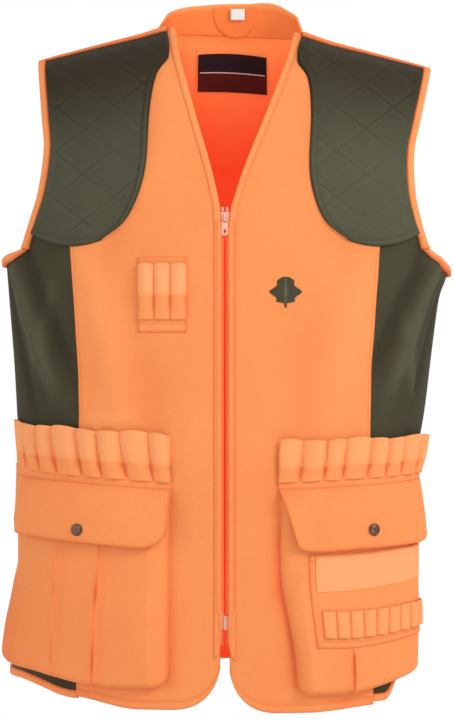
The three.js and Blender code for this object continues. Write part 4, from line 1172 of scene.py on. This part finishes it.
def motif(front):
    """A small plain leaf, stitched in olive thread: a lobed blade above a short stem."""
    middle, top, tall = 61, -262, 31

    def place(s, t):
        lobes = 1 + 0.22 * np.sin(15 * t + 0.6)
        blade = 13.5 * np.sin(math.pi * np.clip(t * 0.94 + 0.03, 0, 1)) ** 0.75 * lobes
        stem = smooth(t, 0.80, 0.86)
        half = blade * (1 - stem) + 1.1 * stem
        level = top - tall * t
        offset = middle + (2 * s - 1) * half
        return angle_at(offset, level, LEFT), down_to(level)

    leaf = Cloth(place, -0.3, 1.5, roll=0.8)
    return lay("leaf_cloth", leaf, SIDE_OLIVE, front, (24, 40), "embroidered_motif",
               tone=lambda s, t: 0.8 * np.exp(-(((s - 0.5) / 0.05) ** 2)) + 0.25 * np.sin(60 * t) ** 2)


# ---- Zip --------------------------------------------------------------------------------------------

ZIP_Y = -FRONT_DEPTH + 3.2
CHAIN_TOP, CHAIN_BOTTOM = -213, -600
TOOTH_PITCH, TOOTH_TALL = 2.6, 1.5
TOOTH_TIP, TOOTH_ROOT = 1.0, 2.4  # how far from the middle the teeth start and end
SPINE = (2.2, 3.3)
TAPE_SPAN, TAPE_ENDS = (1.0, 15), (-632, -204)


def box_piece(name, side, boxes, material):
    """One flat-shaded piece of boxes (x0, x1, y0, y1, z0, z1), whose x counts away from the middle."""
    points, faces = [], []
    for x0, x1, y0, y1, z0, z1 in boxes:
        x0, x1 = sorted((side * x0, side * x1))
        k = len(points)
        points += [(x, y, z) for x in (x0, x1) for y in (y0, y1) for z in (z0, z1)]
        corners = ((0, 1, 3, 2), (4, 6, 7, 5), (0, 4, 5, 1), (2, 3, 7, 6), (0, 2, 6, 4), (1, 5, 7, 3))
        faces += [tuple(k + i for i in face) for face in corners]
    piece = make_mesh(name, points, faces, material)
    piece.data.polygons.foreach_set("use_smooth", [False] * len(faces))
    return piece


def zip_side(side, front):
    word = side_word(side)
    # The teeth stop short of the middle, and teeth and tape lie between the slider's two plates.
    front_y, back_y = ZIP_Y - 1.3, ZIP_Y + 0.4
    boxes = [(*SPINE, front_y + 0.2, back_y, CHAIN_BOTTOM, CHAIN_TOP)]
    first = CHAIN_TOP - (0 if side == LEFT else TOOTH_PITCH / 2)
    for z in np.arange(first, CHAIN_BOTTOM, -TOOTH_PITCH):
        boxes.append((TOOTH_TIP, TOOTH_ROOT, front_y, back_y, z - TOOTH_TALL, z))
    teeth = box_piece(word + "_coil", side, boxes, TEETH)
    bevel = teeth.modifiers.new("soften", "BEVEL")
    bevel.width, bevel.segments = 0.00035, 1
    fit(teeth, front, word + "_zip_teeth")
    tape_box = (*TAPE_SPAN, ZIP_Y + 0.5, ZIP_Y + 1.5, *TAPE_ENDS)
    tape = box_piece(word + "_tape_cloth", side, [tape_box], ZIP_RED)
    fit(tape, front, word + "_zip_tape")


# ---- Sides, back and inside -------------------------------------------------------------------------


def build_side(side):
    """A side panel with its hem band, and the back half of the armhole's binding."""
    word = side_word(side)
    bend = ("shell", word + "_front", *underarm_bend(side))

    def place(s, t):
        tuck = (0.5 - np.abs(s - 0.5)) * 2
        low = ARMHOLE_LOW[side]
        top = np.interp(tuck, (0, 0.34, 0.44, 0.54, 0.7, 1), (-206, -208, -224, -237, low - 2, low - 4))
        rough = mix(top, SIDE_HEM, t)
        seam = np.abs(angle_at(SIDE_SEAM(rough) - 5, rough, side))
        phi = side * mix(seam, math.pi - seam, s)
        hidden = 3 * (1 - smooth(tuck, 0.1, 0.3))  # its corners end above the hems they are sewn into
        return phi, down_to(mix(top, side_hem(side, phi) + 2 + hidden, t))

    panel = Cloth(place, -4.2, 1.8, roll=1.0)
    # painted shade: the side panel's fold ridges a little lighter than its valleys
    made = lay(word + "_side_cloth", panel, SIDE_OLIVE, "shell", (110, 190),
               word + "_side_panel", bend, painted_edge_shade=0.2, tone=painted_fold_shade(place, 0.11))
    seam = float(np.abs(angle_at(SIDE_SEAM(SIDE_HEM), SIDE_HEM, side)))

    def hem_place(s, t):
        around = mix(seam, math.pi - seam, s)
        return side * around, down_to(side_hem(side, around) + mix(HEM_WIDE, 0, t))

    band = Cloth(hem_place, -3.2, 2.6, {"top": 1.6}, roll=1.2)
    extras = lay(word + "_side_hem_cloth", band, TAPE, "shell", (70, 10),
                 word + "_side_hem_band", bend, painted_edge_shade=0.3)
    binding = Cloth(armhole_place(side, -1, (0, 1)), -1.8, 4.0, {"right": 1.4}, roll=1.8)
    extras += lay(word + "_back_binding_cloth", binding, TAPE, "shell", (10, 150),
                  word + "_armhole_binding_back", painted_edge_shade=0.3)
    declare(made, panel, extras)


def back_place(top, bottom, half):
    """place() for cloth on the back, so far to each side of the middle, between two levels."""

    def place(s, t):
        level = mix(top, bottom, t)
        return signed_angle(half * (2 * s - 1), level), -down_to(level)

    return place


def yoke_columns():
    """The yoke's upper edge, (distance across, distance down): round the nape, then along each shoulder."""
    inside = [(70 * math.sin(a), -NECK_BACK * math.cos(a)) for a in np.linspace(0, 1.5, 26)]
    outside = [(x, mix(*YOKE_FORWARD, (x - 72) / 134)) for x in np.linspace(71.5, 206, 40)]
    half = inside + outside
    return np.array([(-x, v) for x, v in half[:0:-1]] + half)


def build_yoke():
    edge = yoke_columns()
    index = np.linspace(0, 1, len(edge))
    low = -float(down_to(YOKE_LOW))

    def place(s, t):
        offset, top = np.interp(s, index, edge[:, 0]), np.interp(s, index, edge[:, 1])
        v = mix(top, low, t)
        level = level_at(v)
        widest = ARMHOLE(level) - BINDING_WIDE + 1
        half = mix(np.abs(offset), widest, smooth(np.abs(offset), 150, 206))
        return signed_angle(np.sign(offset) * np.minimum(half, widest), level), v

    def over_pads(s, t, d):
        return -1.8 + 2.4 * smooth(place(s, t)[1], -2, 14)

    yoke = Cloth(place, over_pads, 2.0, {"bottom": (2.0, 8.0), "top": 2.0}, roll=1.2)
    made = lay("yoke_cloth", yoke, ORANGE, "shell", (1, 60), "back_yoke", painted_edge_shade=0.3,
               cols=index)
    declare(made, yoke)


POUCH_LEVELS, POUCH_HALF, POUCH_DEEP = (-410, -660), 140, 16


def build_back():
    """The back panel with its hem band, and the game pouch under its own band."""

    def panel_place(s, t):
        level = mix(YOKE_LOW + 3, SIDE_HEM, t)
        offset = (panel_edge(level) + 1.5) * (2 * s - 1)
        return signed_angle(offset, level), -down_to(mix(YOKE_LOW + 3, back_hem(offset), t))

    def hem_place(s, t):
        offset = (SIDE_SEAM(SIDE_HEM) - 0.5) * (2 * s - 1)
        return signed_angle(offset, SIDE_HEM + 0 * s), -down_to(back_hem(offset) + mix(HEM_WIDE, -1, t))

    panel = Cloth(panel_place, -2.0, 2.0, {"bottom": 8.5, "left": 3.0, "right": 3.0}, roll=1.1)
    made = lay("back_cloth", panel, ORANGE, "shell", (120, 190), "back_panel", painted_edge_shade=0.35)
    hem = Cloth(hem_place, -0.4, 1.8, {"top": 1.6}, roll=1.2)
    made += lay("back_hem_cloth", hem, TAPE, "shell", (120, 10), "back_hem_band",
                painted_edge_shade=0.3)
    top, bottom = POUCH_LEVELS
    band = Cloth(back_place(top + 17, top + 1, POUCH_HALF + 1), -0.3, 2.8, {"top": 2.0, "bottom": 2.0},
                 roll=1.3)
    made += lay("game_band_cloth", band, TAPE, "shell", (120, 12), "game_pouch_band",
                painted_edge_shade=0.35)
    pouch = Cloth(back_place(top, bottom, POUCH_HALF), lambda s, t, d: pouch_wall(s, t) - 1.6, 1.6,
                  {"left": 3.0, "right": 3.0, "bottom": 3.0}, roll=1.0)
    bag = lay("game_pouch_cloth", pouch, ORANGE, "shell", (130, 130), "game_pouch",
              painted_edge_shade=0.35)
    declare(bag, pouch)
    declare(made, panel)


def pouch_wall(s, t):
    """Height of the game pouch off the back; it comes down to it at its sides and bottom."""
    d = np.minimum(np.minimum(s, 1 - s) * 2 * POUCH_HALF, (1 - t) * (POUCH_LEVELS[0] - POUCH_LEVELS[1]))
    sway = 1.4 * np.sin(9 * s + 4 * t) * smooth(t, 0.1, 0.5)
    high = 1.5 + POUCH_DEEP * mix(0.5, 1, smooth(t, 0, 0.5)) + sway
    return mix(0.6, high, rounded(d / 16))


def build_lining():
    """The red lining, and the blank woven label on it with its pale line."""

    def lining_place(s, t):
        offset = (2 * s - 1) * 150
        neck = -NECK_BACK * np.sqrt(1 - np.clip(np.abs(offset) / (NECK_HALF - 2), 0, 0.97) ** 2)
        v = mix(neck - 1, -down_to(back_hem(offset) + 0.5), t)
        return signed_angle(offset, level_at(v)), v

    lining = Cloth(lining_place, lambda s, t, d: mix(-3.6, -8.2, smooth(t, 0, 0.06)), 1.2, roll=0.8)
    # painted light: the lining lightens to orange up by the neck opening, where light comes in, and its red
    # deepens into the shade below
    inside = lay("lining_cloth", lining, LINING, "shell", (110, 190), "back_lining",
                 tone=lambda s, t: 1 - smooth(t, 0.0, 0.17))

    def label_place(s, t):
        # straight across, though the nape curves
        v = mix(-95, -127, t) - mix(4, 2.2, t) * (1 - (2 * s - 1) ** 2)
        offset = 8 - LEAN * np.clip(1 - level_at(v) / LEAN_ENDS, 0, 1) + (s - 0.5) * 77
        return signed_angle(offset, level_at(v)), v

    label = Cloth(label_place, -10.4, 0.9, roll=0.6)
    extras = lay("label_cloth", label, LABEL, "shell", (60, 60), "woven_label",
                 tone=lambda s, t: 0.85 * smooth(t, 0.55, 0.57))
    line = Cloth(lambda s, t: label_place(mix(0.03, 0.97, s), mix(0.545, 0.57, t)), -10.8, 0.5, roll=0.2)
    extras += lay("label_line_cloth", line, WHITE, "shell", (60, 2))
    declare(inside, lining, extras)


# ---- Collar -----------------------------------------------------------------------------------------


def stand_point(s, t, inside):
    """A point of the neck band: s round the nape, t up from its foot, so far inside its outer face."""
    turn = np.radians(mix(2.0, 178.0, s))
    offset, v = (NECK_HALF - 2) * np.cos(turn), -NECK_BACK * np.sin(turn)
    foot = torso(signed_angle(offset, level_at(v)), v)
    inward = np.stack([LEAN - foot[..., 0], -foot[..., 1] * 0.9, 0 * s], -1)
    inward = inward / np.linalg.norm(inward, axis=-1, keepdims=True)
    tall = mix(mix(13.0, 10.0, s), 30.0, np.maximum(np.sin(turn), 0) ** 0.8)
    tall = tall + 5.5 * np.exp(-(((s - 0.27) / 0.12) ** 2)) - 1.2 * np.exp(-(((s - 0.66) / 0.13) ** 2))
    ends = (1 - np.sin(turn)) ** 1.5  # near the neck points the band leans out into the shoulders
    flare = ends * (1 - t) ** 1.3 * mix(5.0, 11.0, s) + mix(3.0, 8.5, s) * ends
    point = foot + inward * (3 + 3 * t + inside - flare)[..., None]
    point[..., 2] = foot[..., 2] - 3 - 3.2 * ends * (1 - t) + (tall + 5) * t
    return point


def stand_strip(name, span, low, high, layer, node, cells, rim=0.0):
    """A strip of the neck band, low(s) to high up it, in layer (how far inside, how thick)."""
    s, t = even_grid(*cells)
    inside, thick = layer
    place = mix(*span, s), mix(low(s), high, t)
    swell = 0.5 * np.sqrt(np.clip(1 - (2 * t - 1) ** 2, 0, 1))
    near = stand_point(*place, inside - swell)
    far = stand_point(*place, inside + thick + swell)
    piece = shell(name, near, far, COLLAR, np.stack([s * 2.5, t * 0.3], -1))
    # painted highlight: the band is lighter along its top rim, where the light falls on it
    set_tone(piece, np.tile((rim * smooth(t, 0.78, 0.92)).ravel(), 2))
    return fit(piece, "shell", node)


def build_collar():
    """The neck band and the half-moon facing inside it."""

    def moon(s):
        return 0.86 - 0.92 * np.sqrt(1 - (0.97 * (2 * s - 1)) ** 2)

    band = stand_strip("collar_cloth", (0, 1), steady(0), 1.0, (0.0, 2.0), "collar",
                       (140, 24), rim=0.6)
    stand_strip("half_moon_cloth", (0.36, 0.62), moon, 0.9, (2.5, 0.8), "half_moon_facing",
                (60, 12))


def build_size_tab():
    low, high = (np.array(c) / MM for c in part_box("size_tab"))
    s, t = even_grid(12, 12)
    face = np.stack([mix(low[0], high[0], s), low[1] + 0.1 + 0 * s, mix(high[2], low[2], t)], -1)
    back = face + [0, 0.6, 0]
    piece = shell("size_tab_cloth", face, back, WHITE, np.stack([s * 0.15, t * 0.12], -1))
    set_tone(piece, np.zeros(len(piece.data.vertices)))
    fit(piece, "tab", "size_tab")


def coat(node, material):
    """Give one of the frame's own solids a material."""
    materials = bpy.data.objects[node].data.materials
    materials.clear()
    materials.append(material)


build_front(RIGHT)
build_front(LEFT)
chest("right_front")
motif("left_front")
for side in (RIGHT, LEFT):
    build_side(side)
build_yoke()
build_back()
build_lining()
build_collar()
build_size_tab()

for word in ("right", "left"):
    for part in ("snap_cap", "snap_socket", "pocket_stud"):
        coat(f"{word}_{part}", BRASS)
    coat(word + "_zip_top_stop", NYLON)
for node in ("zip_slider", "zip_pull_tab", "zip_retaining_box", "zip_pin"):
    coat(node, NYLON)

# ---- Studio -----------------------------------------------------------------------------------------

FLOOR = -0.8  # metres, as everything in the studio
LIGHTS = (
    # name, place, aimed at, size, watts
    ("key", (1.7, -1.6, 0.8), (0, 0, -0.3), 0.8, 29),
    ("fill", (-1.9, -1.7, 0.1), (0, 0, -0.35), 1.4, 10),
    ("back_fill", (0.4, 2.2, 0.8), (0, 0, -0.35), 1.6, 12),
)
CAMERA_PLACE, CAMERA_LENS, CAMERA_SENSOR = (0.0026, -2.7, -0.345), 128.7, 36


def build_floor():
    floor_material, shader, node, tree = new_material("pale_floor")
    noise = node("TexNoise", {"Vector": node("TexCoord").outputs["Object"], "Scale": 6.0})
    tint = node("MapRange", {"Value": noise.outputs["Fac"], "To Min": 0.86, "To Max": 0.9})
    tree.links.new(tint.outputs["Result"], shader.inputs["Base Color"])
    shader.inputs["Roughness"].default_value = 0.9
    floor = bpy.data.meshes.new("floor")
    corners = [(x, y, FLOOR) for x, y in ((-5, -7), (5, -7), (5, 0.5), (-5, 0.5))]
    floor.from_pydata(corners, [], [(0, 1, 2, 3)])
    floor.materials.append(floor_material)
    add_object("floor", floor)


def build_world():
    """White round the horizon, greyer above and below."""
    world = bpy.data.worlds.new("studio")
    bpy.context.scene.world = world
    world.use_nodes = True
    nodes, links = world.node_tree.nodes, world.node_tree.links
    nodes.clear()
    coords, split = nodes.new("ShaderNodeTexCoord"), nodes.new("ShaderNodeSeparateXYZ")
    ramp, back, out = (nodes.new("ShaderNode" + k) for k in ("ValToRGB", "Background", "OutputWorld"))
    shift = nodes.new("ShaderNodeMapRange")
    shift.inputs["From Min"].default_value = -1.0
    links.new(coords.outputs["Generated"], split.inputs[0])
    links.new(split.outputs["Z"], shift.inputs["Value"])
    links.new(shift.outputs["Result"], ramp.inputs["Fac"])
    stops = ramp.color_ramp.elements
    stops[0].position, stops[0].color = 0.0, (0.4, 0.4, 0.4, 1)
    stops[1].position, stops[1].color = 1.0, (0.75, 0.75, 0.75, 1)
    for position, value in ((0.37, 0.45), (0.42, 1.0), (0.58, 1.0), (0.64, 0.62)):
        stop = stops.new(position)
        stop.color = (value, value, value, 1)
    links.new(ramp.outputs["Color"], back.inputs["Color"])
    links.new(back.outputs["Background"], out.inputs["Surface"])


def build_lights():
    for name, place, aim, size, power in LIGHTS:
        light = bpy.data.lights.new(name, "AREA")
        light.size, light.energy = size, power
        lamp = add_object(name, light)
        lamp.location = place
        x, y, z = np.array(aim) - np.array(place)
        lamp.rotation_euler = (math.atan2(math.hypot(x, y), -z), 0, math.atan2(-x, y))


def build_camera():
    """A long lens that looks level at the front from a little over two and a half metres."""
    scene = bpy.context.scene
    camera = bpy.data.cameras.new("camera")
    camera.lens, camera.sensor_width = CAMERA_LENS, CAMERA_SENSOR
    eye = add_object("camera", camera)
    eye.location, eye.rotation_euler = CAMERA_PLACE, (QUARTER, 0, 0)
    scene.camera = eye
    scene.view_settings.view_transform = "Standard"


build_floor()
build_world()
build_lights()
build_camera()
